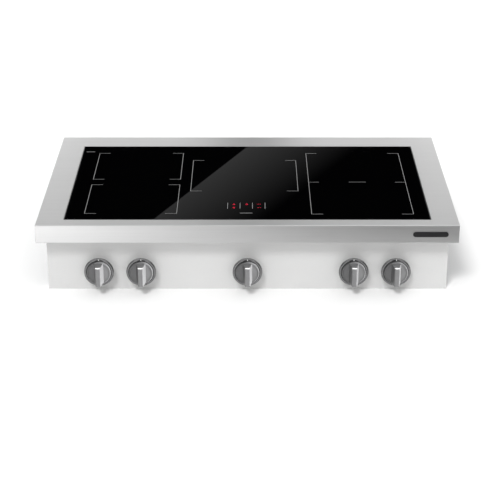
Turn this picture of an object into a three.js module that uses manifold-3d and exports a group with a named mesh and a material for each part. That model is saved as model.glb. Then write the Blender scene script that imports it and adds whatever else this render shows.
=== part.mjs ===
// A built-in electric induction cooktop, 1000 mm wide, with five cooking zones and five front knobs.
//
// A folded stainless steel top with a 45 mm apron holds a flush black glass-ceramic panel. A galvanised
// casing hangs under the glass with the coils, two power boards, two fans and the mains terminal. A steel
// carrier screwed to the front of the casing holds five rotary encoders. The cabinet's front board goes
// between the carrier and the knob bezels, whose sleeves pass through the board.
//
// Units are millimetres. X runs to the right, Y to the back and Z up. The origin is in the middle of the
// cooktop's width, on the front plane of the cabinet, at the height of the cabinet's top edge.

import * as THREE from 'three';
import { mergeVertices } from 'three/addons/utils/BufferGeometryUtils.js';
import Module from 'manifold-3d';

const wasm = await Module();
wasm.setup();

// ---- driving dimensions ----

// stainless steel top
const topWidth = 1000;
const topDepth = 622;
const apronHeight = 45;
const frontOverhang = 18;
const topSheet = 1.5;
const frontFlange = 30;
const otherFlange = 20;
const gap = 0.3; // between pieces that lie against each other

// glass-ceramic panel and its joint
const glassWidth = 870;
const glassDepth = 510;
const glassThickness = 4;
const glassFrontMargin = 38;
const jointWidth = 1.5;
const jointRecess = 0.6;
const padThickness = 1.2;
const ledgeWidth = 12;

// side brackets
const bracket = { width: 34, length: 220, drop: 38, sheet: 2, holePitch: 75, holeHeight: -22 };

// casing
const casingWidth = 866;
const casingSheet = 1.2;
const casingFloor = -22;
const boardThickness = 19.7; // the cabinet's front board, with the play it needs

// coils, measured at the centre of each cooking zone
const zones = [
  { name: 'rear_left', x: -280, y: 382, width: 205, depth: 178 },
  { name: 'front_left', x: -280, y: 153, width: 205, depth: 178 },
  { name: 'centre', x: -8, y: 315, width: 235, depth: 202 },
  { name: 'rear_right', x: 276, y: 371, width: 222, depth: 198 },
  { name: 'front_right', x: 276, y: 159, width: 222, depth: 198 },
];
const coilPlateTop = 26.9;
const coilPlateSheet = 1.5;
const coilBaseHeight = 5;
const windingHeight = 3.6;
const sensorRadius = 6;
const displayCentre = { x: -3, y: 104 };
const controlBoardLow = coilPlateTop + 1;
const controlBoardSheet = 1.6;

// fans
const fanCentres = [
  { side: 'left', x: -215, y: 440 },
  { side: 'right', x: 215, y: 440 },
];
const fanFrame = 92;
const fanHeight = 25;
const fanBladeRadius = 41;
const fanHubRadius = 17;
const fanBlades = 7;

// knobs
const knobCentres = [-355, -254, 0, 254, 355];
const knobHeight = -82;
const bezelRadius = 35.5;
const bezelDepth = 5;
const recessRadius = 29.2;
const recessFloor = 1.7;
const sleeveRadius = 17;
const sleeveBore = 15;
const skirtRadius = 28.4;
const skirtRear = 2.3;
const skirtFront = 9.7;
const gripLength = 50;
const gripBase = 23;
const gripFace = 11.5;
const gripFront = 34.5;
const spindleRadius = 3;
const bushRadius = 5;

// carrier
const carrierHalf = 480;
const carrierSheet = 1.5;
const carrierTop = 20;
const carrierBottom = -136;
const carrierFlange = 24;

// ---- derived places ----

const frontY = -frontOverhang;
const backY = frontY + topDepth;
const glassFrontY = frontY + glassFrontMargin;
const glassBackY = glassFrontY + glassDepth;
const glassBottom = apronHeight - glassThickness;
const windowX = glassWidth / 2 + jointWidth;
const windowFrontY = glassFrontY - jointWidth;
const windowBackY = glassBackY + jointWidth;
const ledgeTop = glassBottom - padThickness - gap;
const carrierFrontY = boardThickness + gap;
const carrierRearY = carrierFrontY + carrierSheet;
const casingFrontY = carrierRearY + gap;
const casingBackY = glassBackY - 1;
const casingTop = ledgeTop - topSheet - gap;
const displayLow = controlBoardLow + controlBoardSheet + gap;
const casingFloorTop = casingFloor + casingSheet;

// ---- materials ----

const finish = (color, roughness, metalness) =>
  new THREE.MeshStandardMaterial({ color, roughness, metalness });

const materials = {
  stainless: finish(0xc9cac8, 0.34, 1),
  glass: finish(0x050506, 0.06, 0),
  silicone: finish(0x17181a, 0.7, 0),
  badge: finish(0x111213, 0.4, 0.2),
  galvanised: finish(0xb4b9bc, 0.45, 0.9),
  aluminium: finish(0xcfd1d2, 0.4, 1),
  copper: finish(0xb0703c, 0.4, 0.9),
  coilPlastic: finish(0x2a2b2d, 0.6, 0),
  mica: finish(0xb9ac8c, 0.7, 0),
  sensorRubber: finish(0xb8472f, 0.6, 0),
  circuitBoard: finish(0x1d5a38, 0.5, 0),
  blackPlastic: finish(0x1b1c1e, 0.5, 0),
  displayRed: finish(0x3a0508, 0.3, 0),
  knobMetal: finish(0x8f9092, 0.3, 1),
  bezelMetal: finish(0xa9aaab, 0.22, 1),
  spindleSteel: finish(0xa8a9aa, 0.3, 1),
  carrierPaint: finish(0xd9dad8, 0.5, 0),
  greyPlastic: finish(0x6d7073, 0.5, 0),
};

const cooktop = new THREE.Group();

// ---- helpers ----

// A closed three.js geometry as a manifold-3d solid.
function solid(geometry) {
  const bare = geometry.clone();
  bare.deleteAttribute('normal');
  bare.deleteAttribute('uv');
  const merged = mergeVertices(bare, 1e-4);
  return new wasm.Manifold(
    new wasm.Mesh({
      numProp: 3,
      vertProperties: new Float32Array(merged.attributes.position.array),
      triVerts: new Uint32Array(merged.index.array),
    }),
  );
}

// A manifold-3d solid as a three.js geometry.
function geometryOf(made) {
  const mesh = made.getMesh();
  const geometry = new THREE.BufferGeometry();
  geometry.setAttribute('position', new THREE.BufferAttribute(mesh.vertProperties, 3));
  geometry.setIndex(new THREE.BufferAttribute(mesh.triVerts, 1));
  geometry.computeVertexNormals();
  return geometry;
}

// Adds a named mesh at a place; shape is a geometry or a manifold-3d solid.
function place(name, shape, material, x = 0, y = 0, z = 0) {
  const geometry = shape.isBufferGeometry ? shape : geometryOf(shape);
  const mesh = new THREE.Mesh(geometry, material);
  mesh.name = name;
  mesh.position.set(x, y, z);
  cooktop.add(mesh);
  return mesh;
}

// A box from its lowest to its highest corner.
function box(x0, x1, y0, y1, z0, z1) {
  const made = new THREE.BoxGeometry(x1 - x0, y1 - y0, z1 - z0);
  return made.translate((x0 + x1) / 2, (y0 + y1) / 2, (z0 + z1) / 2);
}

const block = (...sides) => solid(box(...sides));

// A cylinder about the Z axis between two heights.
function rod(radius, z0, z1, segments = 24) {
  const made = new THREE.CylinderGeometry(radius, radius, z1 - z0, segments);
  return made.rotateX(Math.PI / 2).translate(0, 0, (z0 + z1) / 2);
}

// A cylinder about the Y axis between two depths.
function rodAlongY(radius, y0, y1, segments = 24) {
  return new THREE.CylinderGeometry(radius, radius, y1 - y0, segments).translate(0, (y0 + y1) / 2, 0);
}

// A rectangle with round corners, as a shape or as a hole.
function roundedOutline(path, width, depth, radius) {
  const x = width / 2 - radius;
  const y = depth / 2 - radius;
  path.absarc(x, -y, radius, -Math.PI / 2, 0);
  path.absarc(x, y, radius, 0, Math.PI / 2);
  path.absarc(-x, y, radius, Math.PI / 2, Math.PI);
  path.absarc(-x, -y, radius, Math.PI, Math.PI * 1.5);
  path.closePath();
  return path;
}

function extruded(shape, height, curveSegments = 6) {
  return new THREE.ExtrudeGeometry(shape, { depth: height, bevelEnabled: false, curveSegments });
}

// A profile of [radius, height] pairs turned about the Y axis.
function turned(profile, segments) {
  return new THREE.LatheGeometry(
    profile.map(([radius, height]) => new THREE.Vector2(radius, height)),
    segments,
  );
}

const union = (parts) => parts.reduce((whole, part) => whole.add(part));
const cut = (whole, parts) => parts.reduce((rest, part) => rest.subtract(part), whole);

// ---- stainless steel top ----

// Top sheet, apron on all four sides, return flanges below and the ledge that carries the glass.
function topFrame() {
  const x = topWidth / 2;
  const inner = topSheet;
  const outside = block(-x, x, frontY, backY, 0, apronHeight);
  const cavity = block(-x + inner, x - inner, frontY + inner, backY - inner, inner, apronHeight - inner);
  const underside = block(
    -x + otherFlange, x - otherFlange, frontY + frontFlange, backY - otherFlange, -1, inner + 1,
  );
  const opening = block(-windowX, windowX, windowFrontY, windowBackY, 0, apronHeight + 1);
  const lipOutside = block(
    -windowX - inner, windowX + inner, windowFrontY - inner, windowBackY + inner,
    ledgeTop - inner, apronHeight - inner / 2,
  );
  const lipInside = block(-windowX, windowX, windowFrontY, windowBackY, ledgeTop, apronHeight + 1);
  const lightHole = block(
    -windowX + ledgeWidth, windowX - ledgeWidth, windowFrontY + ledgeWidth, windowBackY - ledgeWidth,
    0, ledgeTop + 1,
  );
  const skin = cut(outside, [cavity, underside, opening]);
  const ledge = cut(lipOutside, [lipInside, lightHole]);
  return skin.add(ledge);
}

function glassPanel() {
  const x = glassWidth / 2;
  return box(-x, x, glassFrontY, glassBackY, glassBottom, apronHeight);
}

// Silicone joint: a pad under the glass and a bead round its edge.
function glassSeal() {
  const x = windowX - gap;
  const y0 = windowFrontY + gap;
  const y1 = windowBackY - gap;
  const low = ledgeTop + gap;
  const whole = block(-x, x, y0, y1, low, apronHeight - jointRecess);
  const glassRoom = block(
    -glassWidth / 2 - gap, glassWidth / 2 + gap, glassFrontY - gap, glassBackY + gap,
    glassBottom - gap, apronHeight,
  );
  const middle = block(
    -windowX + ledgeWidth, windowX - ledgeWidth, windowFrontY + ledgeWidth, windowBackY - ledgeWidth,
    low - 1, apronHeight,
  );
  return cut(whole, [glassRoom, middle]);
}

// A plain plate on the apron, with no lettering.
function badgePlate() {
  const outline = roundedOutline(new THREE.Shape(), 84, 13, 6);
  return extruded(outline, 1.4, 5).rotateX(Math.PI / 2);
}

// Galvanised ring inside the apron, with an upturned lip against the casing.
function subFrame() {
  const low = topSheet + gap;
  const high = low + topSheet;
  const lipTop = 24;
  const x = topWidth / 2 - topSheet - 1;
  const lipX = casingWidth / 2 + 1;
  const lipBackY = casingBackY + 1;
  const lipFrontY = boardThickness;
  const plate = block(-x, x, frontY + topSheet + 0.5, backY - topSheet - 1, low, high);
  const lip = block(
    -lipX - topSheet, lipX + topSheet, lipFrontY - topSheet, lipBackY + topSheet, low, lipTop,
  );
  const opening = block(-lipX, lipX, lipFrontY, lipBackY, low - 1, lipTop + 1);
  return cut(plate.add(lip), [opening]);
}

// An angle under each side of the sub-frame, screwed to the inner face of the cabinet's side.
function sideBracket(side) {
  const { width, length, drop, sheet, holePitch, holeHeight } = bracket;
  const outer = topWidth / 2 - otherFlange - gap;
  const top = topSheet;
  const flat = block(outer - width, outer, -length / 2, length / 2, top - sheet, top);
  const leg = block(outer - sheet, outer, -length / 2, length / 2, -drop, top);
  const holes = [-holePitch, 0, holePitch].map((y) => {
    const hole = rod(3, -1, 20, 12);
    return solid(hole.rotateY(Math.PI / 2).translate(outer - 10, y, holeHeight));
  });
  const made = cut(flat.add(leg), holes);
  return side > 0 ? made : made.mirror([1, 0, 0]);
}

// ---- casing and what it holds ----

const rearSlots = { count: 14, pitch: 46, width: 8, low: -10, high: 18 };
const loomHole = { x: 60, y: 70, radius: 7 };
const mainsHole = { x: 330, y: 470, radius: 9 };

// Slots as long as the chords of the fan's opening.
function fanGrille(fan) {
  const radius = fanBladeRadius - 2;
  const pitch = 11;
  return [-3, -2, -1, 0, 1, 2, 3].map((step) => {
    const offset = step * pitch;
    const half = Math.sqrt(radius * radius - offset * offset);
    return block(
      fan.x + offset - 3, fan.x + offset + 3, fan.y - half, fan.y + half,
      casingFloor - 1, casingFloorTop + 1,
    );
  });
}

function casingTray() {
  const x = casingWidth / 2;
  const outside = block(-x, x, casingFrontY, casingBackY, casingFloor, casingTop);
  const inside = block(
    -x + casingSheet, x - casingSheet, casingFrontY + casingSheet, casingBackY - casingSheet,
    casingFloorTop, casingTop + 1,
  );
  const slots = Array.from({ length: rearSlots.count }, (_, i) => {
    const middle = (i - (rearSlots.count - 1) / 2) * rearSlots.pitch;
    return block(
      middle - rearSlots.width / 2, middle + rearSlots.width / 2, casingBackY - 3, casingBackY + 1,
      rearSlots.low, rearSlots.high,
    );
  });
  const wireHoles = [loomHole, mainsHole].map((hole) =>
    solid(rod(hole.radius, casingFloor - 1, casingFloorTop + 1, 12).translate(hole.x, hole.y, 0)),
  );
  return cut(outside, [inside, ...slots, ...fanCentres.flatMap(fanGrille), ...wireHoles]);
}

// Aluminium table over the electronics; its ends are bent down to the floor of the casing.
function coilPlate() {
  const x = casingWidth / 2 - 5;
  const inner = x - coilPlateSheet;
  const foot = casingFloorTop + gap;
  const low = coilPlateTop - coilPlateSheet;
  const section = new THREE.Shape();
  section.moveTo(-x, foot).lineTo(-inner, foot).lineTo(-inner, low).lineTo(inner, low);
  section.lineTo(inner, foot).lineTo(x, foot).lineTo(x, coilPlateTop).lineTo(-x, coilPlateTop);
  section.closePath();
  const depth = casingBackY - casingFrontY - 12;
  const table = extruded(section, depth).rotateX(Math.PI / 2).translate(0, casingBackY - 6, 0);
  const holes = zones.map((zone) =>
    solid(rod(sensorRadius + 4, low - 1, coilPlateTop + 1, 12).translate(zone.x, zone.y, 0)),
  );
  return cut(solid(table), holes);
}

// Plastic coil former with a rim, a middle boss and eight ribs that hold the ferrite bars.
function coilBase(zone) {
  const plate = extruded(roundedOutline(new THREE.Shape(), zone.width + 8, zone.depth + 8, 44), 2, 3);
  const ribs = Array.from({ length: 4 }, (_, i) => {
    const reach = Math.min(zone.width, zone.depth) / 2 - 6;
    const rib = new THREE.BoxGeometry(2 * reach, 9, coilBaseHeight).translate(0, 0, coilBaseHeight / 2);
    return solid(rib.rotateZ((i * Math.PI) / 4));
  });
  const boss = solid(rod(18, 0, coilBaseHeight, 12));
  const bore = solid(rod(sensorRadius + gap, -1, coilBaseHeight + 1, 12));
  return cut(union([solid(plate), boss, ...ribs]), [bore]);
}

function winding(zone) {
  const outline = roundedOutline(new THREE.Shape(), zone.width, zone.depth, 66);
  outline.holes.push(roundedOutline(new THREE.Path(), 62, 50, 22));
  return extruded(outline, windingHeight, 4);
}

// Thermal sensor in a silicone cap that touches the underside of the glass.
function sensor() {
  const low = coilPlateTop + gap;
  const high = glassBottom - 0.5;
  return turned(
    [
      [0, low],
      [sensorRadius, low],
      [sensorRadius, high - 1.4],
      [sensorRadius - 1, high],
      [0, high],
    ],
    12,
  ).rotateX(Math.PI / 2);
}

// Mica sheet over the coils, open round each sensor and over the display.
function insulationSheet() {
  const outline = new THREE.Shape();
  const halfWidth = casingWidth / 2 - 14;
  const y0 = casingFrontY + 12;
  const y1 = casingBackY - 14;
  outline.moveTo(-halfWidth, y0).lineTo(halfWidth, y0).lineTo(halfWidth, y1).lineTo(-halfWidth, y1);
  outline.closePath();
  for (const zone of zones) {
    const hole = new THREE.Path();
    hole.absarc(zone.x, zone.y, sensorRadius + 2, 0, Math.PI * 2);
    outline.holes.push(hole);
  }
  const { x, y } = displayCentre;
  const window = new THREE.Path();
  window.moveTo(x - 60, y - 28).lineTo(x + 60, y - 28).lineTo(x + 60, y + 28).lineTo(x - 60, y + 28);
  window.closePath();
  outline.holes.push(window);
  return extruded(outline, 0.8, 5);
}

// A board on four posts with its capacitors and filter choke, which stay clear of the heat sink.
function powerBoard(mirror) {
  const low = casingFloorTop + gap;
  const top = low + 6;
  const sheet = block(-190, 190, -75, 75, top, top + 1.6);
  const posts = [-180, 180].flatMap((x) => [-65, 65].map((y) => block(x - 4, x + 4, y - 4, y + 4, low, top)));
  const capacitors = [-150, -118, -86].map((x) =>
    solid(rod(13, top + 1, top + 24, 10).translate(x * mirror, -40, 0)),
  );
  const filmBlocks = [40, 84, 128].map((x) =>
    block(x * mirror - 18, x * mirror + 18, -62, -44, top + 1, top + 21),
  );
  const choke = new THREE.TorusGeometry(10, 4.5, 6, 12).rotateX(Math.PI / 2);
  choke.translate(-30 * mirror, -54, top + 14);
  return union([sheet, solid(choke), ...posts, ...capacitors, ...filmBlocks]);
}

// Extruded fins that run from front to back in the fan's air.
function heatSink() {
  const base = block(-70, 70, -45, 45, 0, 4);
  const fins = Array.from({ length: 12 }, (_, i) => {
    const middle = (i - 5.5) * 12;
    return block(middle - 1, middle + 1, -45, 45, 3, 24);
  });
  return union([base, ...fins]);
}

// Square fan frame with a round duct, and the motor seat on three arms.
function fanHousing() {
  const half = fanFrame / 2;
  const low = casingFloorTop + gap;
  const high = low + fanHeight;
  const frame = block(-half, half, -half, half, low, high);
  const duct = solid(rod(fanBladeRadius + 2, low - 1, high + 1, 24));
  const seat = solid(rod(fanHubRadius, high - 5, high, 14));
  const arms = [0, 1, 2].map((i) => {
    const arm = new THREE.BoxGeometry(fanBladeRadius + 3, 5, 3.5);
    arm.translate((fanBladeRadius + 3) / 2, 0, high - 1.75);
    return solid(arm.rotateZ((i * Math.PI * 2) / 3 + 0.4));
  });
  return union([cut(frame, [duct]), seat, ...arms]);
}

// Hub with seven pitched blades.
function fanImpeller() {
  const low = casingFloorTop + 2.5;
  const high = casingFloorTop + gap + fanHeight - 6;
  const hub = solid(rod(fanHubRadius, low, high, 14));
  const reach = fanBladeRadius - fanHubRadius + 3;
  const blades = Array.from({ length: fanBlades }, (_, i) => {
    const blade = new THREE.BoxGeometry(reach, 17, 1.6);
    blade.rotateX(0.72).translate(fanHubRadius - 3 + reach / 2, 0, (low + high) / 2);
    return solid(blade.rotateZ((i * Math.PI * 2) / fanBlades));
  });
  const sweep = solid(rod(fanBladeRadius, low, high, 24));
  return union([hub, ...blades]).intersect(sweep);
}

// ---- mains connection under the casing ----

const terminalBox = { x: 330, y: 470, width: 120, depth: 84, height: 34, wall: 2 };
const glandBore = 7.5;

function terminalCover() {
  const t = terminalBox;
  const top = casingFloor - gap;
  const low = top - t.height;
  const outside = block(-t.width / 2, t.width / 2, -t.depth / 2, t.depth / 2, low, top);
  const inside = block(
    -t.width / 2 + t.wall, t.width / 2 - t.wall, -t.depth / 2 + t.wall, t.depth / 2 - t.wall,
    low + t.wall, top + 1,
  );
  const glandHole = rodAlongY(12.3, t.depth / 2 - 6, t.depth / 2 + 2, 20).translate(0, 0, (low + top) / 2);
  return cut(outside, [inside, solid(glandHole)]);
}

// Six-pole terminal block, each pole with a screw well.
function terminalBlock() {
  const body = block(-46, 46, -10, 10, -26, -gap);
  const poles = Array.from({ length: 6 }, (_, i) => (i - 2.5) * 15);
  const wells = poles.flatMap((x) => [
    block(x - 5.5, x + 5.5, -11, -3, -27, -14),
    block(x - 5.5, x + 5.5, 3, 11, -27, -14),
  ]);
  return cut(body, wells);
}

// Gland with a hexagon outside the cover, a thread through its wall and a nut inside.
function cableGland() {
  const wallOut = terminalBox.depth / 2;
  const wallIn = wallOut - terminalBox.wall;
  const hexagon = solid(rodAlongY(15.5, wallOut + gap, wallOut + 8, 6));
  const thread = solid(rodAlongY(12, wallIn - 7, wallOut + 8, 14));
  const nut = solid(rodAlongY(14, wallIn - 5, wallIn - gap, 6));
  const dome = solid(
    turned(
      [
        [0, wallOut + 7],
        [14, wallOut + 7],
        [14, wallOut + 16],
        [11, wallOut + 21],
        [0, wallOut + 21],
      ],
      20,
    ),
  );
  const bore = solid(rodAlongY(glandBore, wallIn - 8, wallOut + 22, 14));
  return cut(union([hexagon, thread, nut, dome]), [bore]);
}

// ---- display under the glass ----

function controlBoard() {
  return box(-75, 75, -26, 26, 0, controlBoardSheet);
}

// Light box with a window for each of the five digits.
function displayModule() {
  const height = glassBottom - 0.8 - displayLow;
  const body = block(-56, 56, -24, 24, 0, height);
  const digits = [
    [-30, 12.5],
    [-30, -10],
    [0, 12.5],
    [30.5, 12.5],
    [30.5, -10],
  ];
  const windows = digits.map(([x, y]) => block(x - 5, x + 5, y - 7, y + 7, height - 4, height + 1));
  return cut(body, windows);
}

// ---- knobs, bezels, encoders and their carrier ----

// Folded steel panel behind the cabinet's front board: top half against the casing, holes for the encoders.
function controlCarrier() {
  const panel = new THREE.Shape();
  panel.moveTo(-carrierHalf, carrierBottom).lineTo(carrierHalf, carrierBottom);
  panel.lineTo(carrierHalf, -2).lineTo(casingWidth / 2, -2).lineTo(casingWidth / 2, carrierTop);
  panel.lineTo(-casingWidth / 2, carrierTop).lineTo(-casingWidth / 2, -2).lineTo(-carrierHalf, -2);
  panel.closePath();
  for (const x of knobCentres) {
    const hole = new THREE.Path();
    hole.absarc(x, knobHeight, bushRadius + 0.8, 0, Math.PI * 2);
    panel.holes.push(hole);
  }
  const front = extruded(panel, carrierSheet, 4).rotateX(Math.PI / 2).translate(0, carrierRearY, 0);
  const depth = carrierFrontY + carrierFlange;
  const footTop = carrierBottom + carrierSheet;
  const foot = block(-carrierHalf, carrierHalf, carrierFrontY, depth, carrierBottom, footTop);
  const ends = [-carrierHalf, carrierHalf - carrierSheet].map((left) =>
    block(left, left + carrierSheet, carrierFrontY, depth, carrierBottom, -24),
  );
  const endHoles = [-50, -110].map((z) =>
    solid(rod(2.8, -500, 500, 10).rotateY(Math.PI / 2).translate(0, depth - 11, z)),
  );
  return cut(union([solid(front), foot, ...ends]), endHoles);
}

// Round bezel with a recess for the knob's skirt and a sleeve through the cabinet's board.
function bezel() {
  return turned(
    [
      [sleeveBore, -recessFloor],
      [sleeveBore, boardThickness],
      [sleeveRadius, boardThickness],
      [sleeveRadius, 0],
      [bezelRadius, 0],
      [bezelRadius, -bezelDepth + 1.6],
      [bezelRadius - 1.6, -bezelDepth],
      [recessRadius, -bezelDepth],
      [recessRadius, -recessFloor],
      [sleeveBore, -recessFloor],
    ].reverse(),
    24,
  );
}

// Skirt, grip bar with sloping flanks, and a hub bored for the spindle.
function knob() {
  const skirt = turned(
    [
      [0, -skirtRear],
      [skirtRadius, -skirtRear],
      [skirtRadius, -skirtFront + 1.5],
      [skirtRadius - 1.5, -skirtFront],
      [0, -skirtFront],
    ].reverse(),
    24,
  );
  const section = new THREE.Shape();
  section.moveTo(-gripBase / 2, -skirtFront + 1).lineTo(gripBase / 2, -skirtFront + 1);
  section.lineTo(gripFace / 2, -gripFront).lineTo(-gripFace / 2, -gripFront).closePath();
  const grip = extruded(section, gripLength).translate(0, 0, -gripLength / 2);
  const hub = rodAlongY(7.5, -skirtRear - 1, 9, 12);
  const bore = rodAlongY(spindleRadius + gap, -14, 10, 12);
  return cut(union([solid(skirt), solid(grip), solid(hub)]), [solid(bore)]);
}

// Encoder shaft, with a flat that drives the knob.
function spindle() {
  const shaft = solid(rodAlongY(spindleRadius, -13.5, casingFrontY + 10, 12));
  const flat = block(-4, 4, -14, 8, 2.2, 4);
  return cut(shaft, [flat]);
}

// Encoder housing behind the carrier, with its threaded bush through the carrier's hole.
function encoder() {
  const rear = carrierRearY + gap;
  const housing = block(-14, 14, rear, rear + 17, -15, 13);
  const cap = solid(rodAlongY(11, rear + 16, rear + 20, 12));
  const bush = solid(rodAlongY(bushRadius, carrierFrontY - 8, rear + 1, 12));
  const connector = block(-9, 9, rear + 6, rear + 14, 12, 19);
  const bore = solid(rodAlongY(spindleRadius + 0.4, 0, rear + 15, 12));
  return cut(union([housing, cap, bush, connector]), [bore]);
}

// Wiring loom: a trunk along the carrier, a drop to each encoder and a riser into the casing.
function wiringLoom() {
  const trunkY = carrierRearY + 11.5;
  const trunkZ = -40;
  const tube = (points, radius, steps) => {
    const section = new THREE.Shape();
    section.absarc(0, 0, radius, 0, Math.PI * 2);
    const path = new THREE.CatmullRomCurve3(points.map((point) => new THREE.Vector3(...point)));
    return solid(new THREE.ExtrudeGeometry(section, { steps, extrudePath: path, curveSegments: 3 }));
  };
  const sag = (x) => trunkZ - 2.5 * Math.cos(x / 32);
  const ends = knobCentres[knobCentres.length - 1];
  const trunkPoints = Array.from({ length: 15 }, (_, i) => {
    const x = -ends + (i * 2 * ends) / 14;
    return [x, trunkY, sag(x)];
  });
  const trunk = tube(trunkPoints, 4, 28);
  const drops = knobCentres.map((x) =>
    tube([[x, trunkY, sag(x) + 1], [x, trunkY, -48], [x, trunkY - 0.5, knobHeight + 19 + gap]], 2.6, 2),
  );
  const riser = tube(
    [
      [loomHole.x - 46, trunkY, sag(loomHole.x - 46)],
      [loomHole.x - 26, trunkY + 4, trunkZ],
      [loomHole.x - 8, loomHole.y - 16, trunkZ + 5],
      [loomHole.x, loomHole.y, casingFloor - 6],
      [loomHole.x, loomHole.y, casingFloor + 14],
    ],
    4,
    10,
  );
  return union([trunk, riser, ...drops]);
}

// ---- assembly ----

place('top_frame', topFrame(), materials.stainless);
place('glass_panel', glassPanel(), materials.glass);
place('glass_seal', glassSeal(), materials.silicone);
place('badge_plate', badgePlate(), materials.badge, 432, frontY - 0.1, apronHeight / 2);
place('sub_frame', subFrame(), materials.galvanised);
place('side_bracket_left', sideBracket(-1), materials.galvanised, 0, 300, 0);
place('side_bracket_right', sideBracket(1), materials.galvanised, 0, 300, 0);

place('casing_tray', casingTray(), materials.galvanised);
place('coil_plate', coilPlate(), materials.aluminium);
const insulationLow = coilPlateTop + coilBaseHeight + windingHeight + 3 * gap;
place('insulation_sheet', insulationSheet(), materials.mica, 0, 0, insulationLow);

for (const zone of zones) {
  const baseLow = coilPlateTop + gap;
  place(`coil_base_${zone.name}`, coilBase(zone), materials.coilPlastic, zone.x, zone.y, baseLow);
  const windingLow = baseLow + coilBaseHeight + gap;
  place(`winding_${zone.name}`, winding(zone), materials.copper, zone.x, zone.y, windingLow);
  place(`sensor_${zone.name}`, sensor(), materials.sensorRubber, zone.x, zone.y, 0);
}

for (const [side, sign] of [['left', -1], ['right', 1]]) {
  const boardX = sign * 215;
  place(`power_board_${side}`, powerBoard(sign), materials.circuitBoard, boardX, 280, 0);
  const sinkLow = casingFloorTop + gap + 8;
  place(`heat_sink_${side}`, heatSink(), materials.aluminium, boardX, 308, sinkLow);
}

for (const fan of fanCentres) {
  place(`fan_housing_${fan.side}`, fanHousing(), materials.blackPlastic, fan.x, fan.y, 0);
  place(`fan_impeller_${fan.side}`, fanImpeller(), materials.greyPlastic, fan.x, fan.y, 0);
}

place('terminal_cover', terminalCover(), materials.blackPlastic, terminalBox.x, terminalBox.y, 0);
const terminalY = terminalBox.y - 10;
place('terminal_block', terminalBlock(), materials.greyPlastic, terminalBox.x, terminalY, casingFloor);
const glandHeight = casingFloor - gap - terminalBox.height / 2;
place('cable_gland', cableGland(), materials.blackPlastic, terminalBox.x, terminalBox.y, glandHeight);

const { x: displayX, y: displayY } = displayCentre;
place('control_board', controlBoard(), materials.circuitBoard, displayX, displayY, controlBoardLow);
place('display_module', displayModule(), materials.displayRed, displayX, displayY, displayLow);

place('control_carrier', controlCarrier(), materials.carrierPaint);
place('wiring_loom', wiringLoom(), materials.blackPlastic);
knobCentres.forEach((x, i) => {
  const number = i + 1;
  place(`bezel_${number}`, bezel(), materials.bezelMetal, x, 0, knobHeight);
  place(`knob_${number}`, knob(), materials.knobMetal, x, 0, knobHeight);
  place(`spindle_${number}`, spindle(), materials.spindleSteel, x, 0, knobHeight);
  place(`encoder_${number}`, encoder(), materials.greyPlastic, x, 0, knobHeight);
});

export default cooktop;
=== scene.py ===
from math import cos, pi, radians, sin
import bmesh
import bpy
from mathutils import Matrix, Vector


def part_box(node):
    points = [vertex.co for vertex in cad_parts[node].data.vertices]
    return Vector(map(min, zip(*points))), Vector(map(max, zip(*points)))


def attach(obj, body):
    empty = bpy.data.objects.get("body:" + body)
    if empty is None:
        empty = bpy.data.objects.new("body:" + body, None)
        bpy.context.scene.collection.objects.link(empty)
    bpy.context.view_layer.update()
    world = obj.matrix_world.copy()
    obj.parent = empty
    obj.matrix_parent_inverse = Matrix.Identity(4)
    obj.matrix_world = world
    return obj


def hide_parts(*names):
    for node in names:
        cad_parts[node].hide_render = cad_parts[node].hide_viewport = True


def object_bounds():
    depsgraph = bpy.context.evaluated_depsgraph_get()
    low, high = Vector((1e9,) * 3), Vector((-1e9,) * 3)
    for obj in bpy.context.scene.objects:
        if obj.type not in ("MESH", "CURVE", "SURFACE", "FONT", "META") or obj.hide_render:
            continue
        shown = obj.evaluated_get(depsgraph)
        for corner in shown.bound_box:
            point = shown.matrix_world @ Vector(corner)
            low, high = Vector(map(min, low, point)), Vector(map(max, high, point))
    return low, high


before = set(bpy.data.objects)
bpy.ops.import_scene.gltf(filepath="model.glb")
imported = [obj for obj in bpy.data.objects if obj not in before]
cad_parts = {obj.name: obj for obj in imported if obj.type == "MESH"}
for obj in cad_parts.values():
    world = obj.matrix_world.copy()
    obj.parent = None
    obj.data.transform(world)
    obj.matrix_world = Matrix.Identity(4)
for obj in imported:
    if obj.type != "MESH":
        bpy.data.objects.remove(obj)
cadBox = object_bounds()
mm = 0.001

zoneNames = ("rear_left", "front_left", "centre", "rear_right", "front_right")
knobNumbers = (1, 2, 3, 4, 5)
sides = {"left": -1, "right": 1}
signs = ((-1, -1), (-1, 1), (1, -1), (1, 1))


# shader expressions

class Term:
    # a socket that Python's arithmetic signs add Math nodes to
    def __init__(self, tree, socket):
        self.tree = tree
        self.socket = socket

    def math(self, operation, first, second=0.0, clamp=False):
        node = self.tree.nodes.new("ShaderNodeMath")
        node.operation = operation
        node.use_clamp = clamp
        for socket, value in zip(node.inputs, (first, second)):
            if isinstance(value, Term):
                self.tree.links.new(value.socket, socket)
            else:
                socket.default_value = value
        return Term(self.tree, node.outputs[0])

    def __add__(self, other):
        return self.math("ADD", self, other)

    def __radd__(self, other):
        return self.math("ADD", other, self)

    def __sub__(self, other):
        return self.math("SUBTRACT", self, other)

    def __rsub__(self, other):
        return self.math("SUBTRACT", other, self)

    def __mul__(self, other):
        return self.math("MULTIPLY", self, other)

    def __rmul__(self, other):
        return self.math("MULTIPLY", other, self)

    def __truediv__(self, other):
        return self.math("DIVIDE", self, other)

    def __pow__(self, other):
        return self.math("POWER", self, other)

    def above(self, edge):
        return self.math("GREATER_THAN", self, edge)

    def size(self):
        return self.math("ABSOLUTE", self)

    def sine(self):
        return self.math("SINE", self)

    def limited(self):
        return self.math("ADD", self, 0.0, clamp=True)


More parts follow.
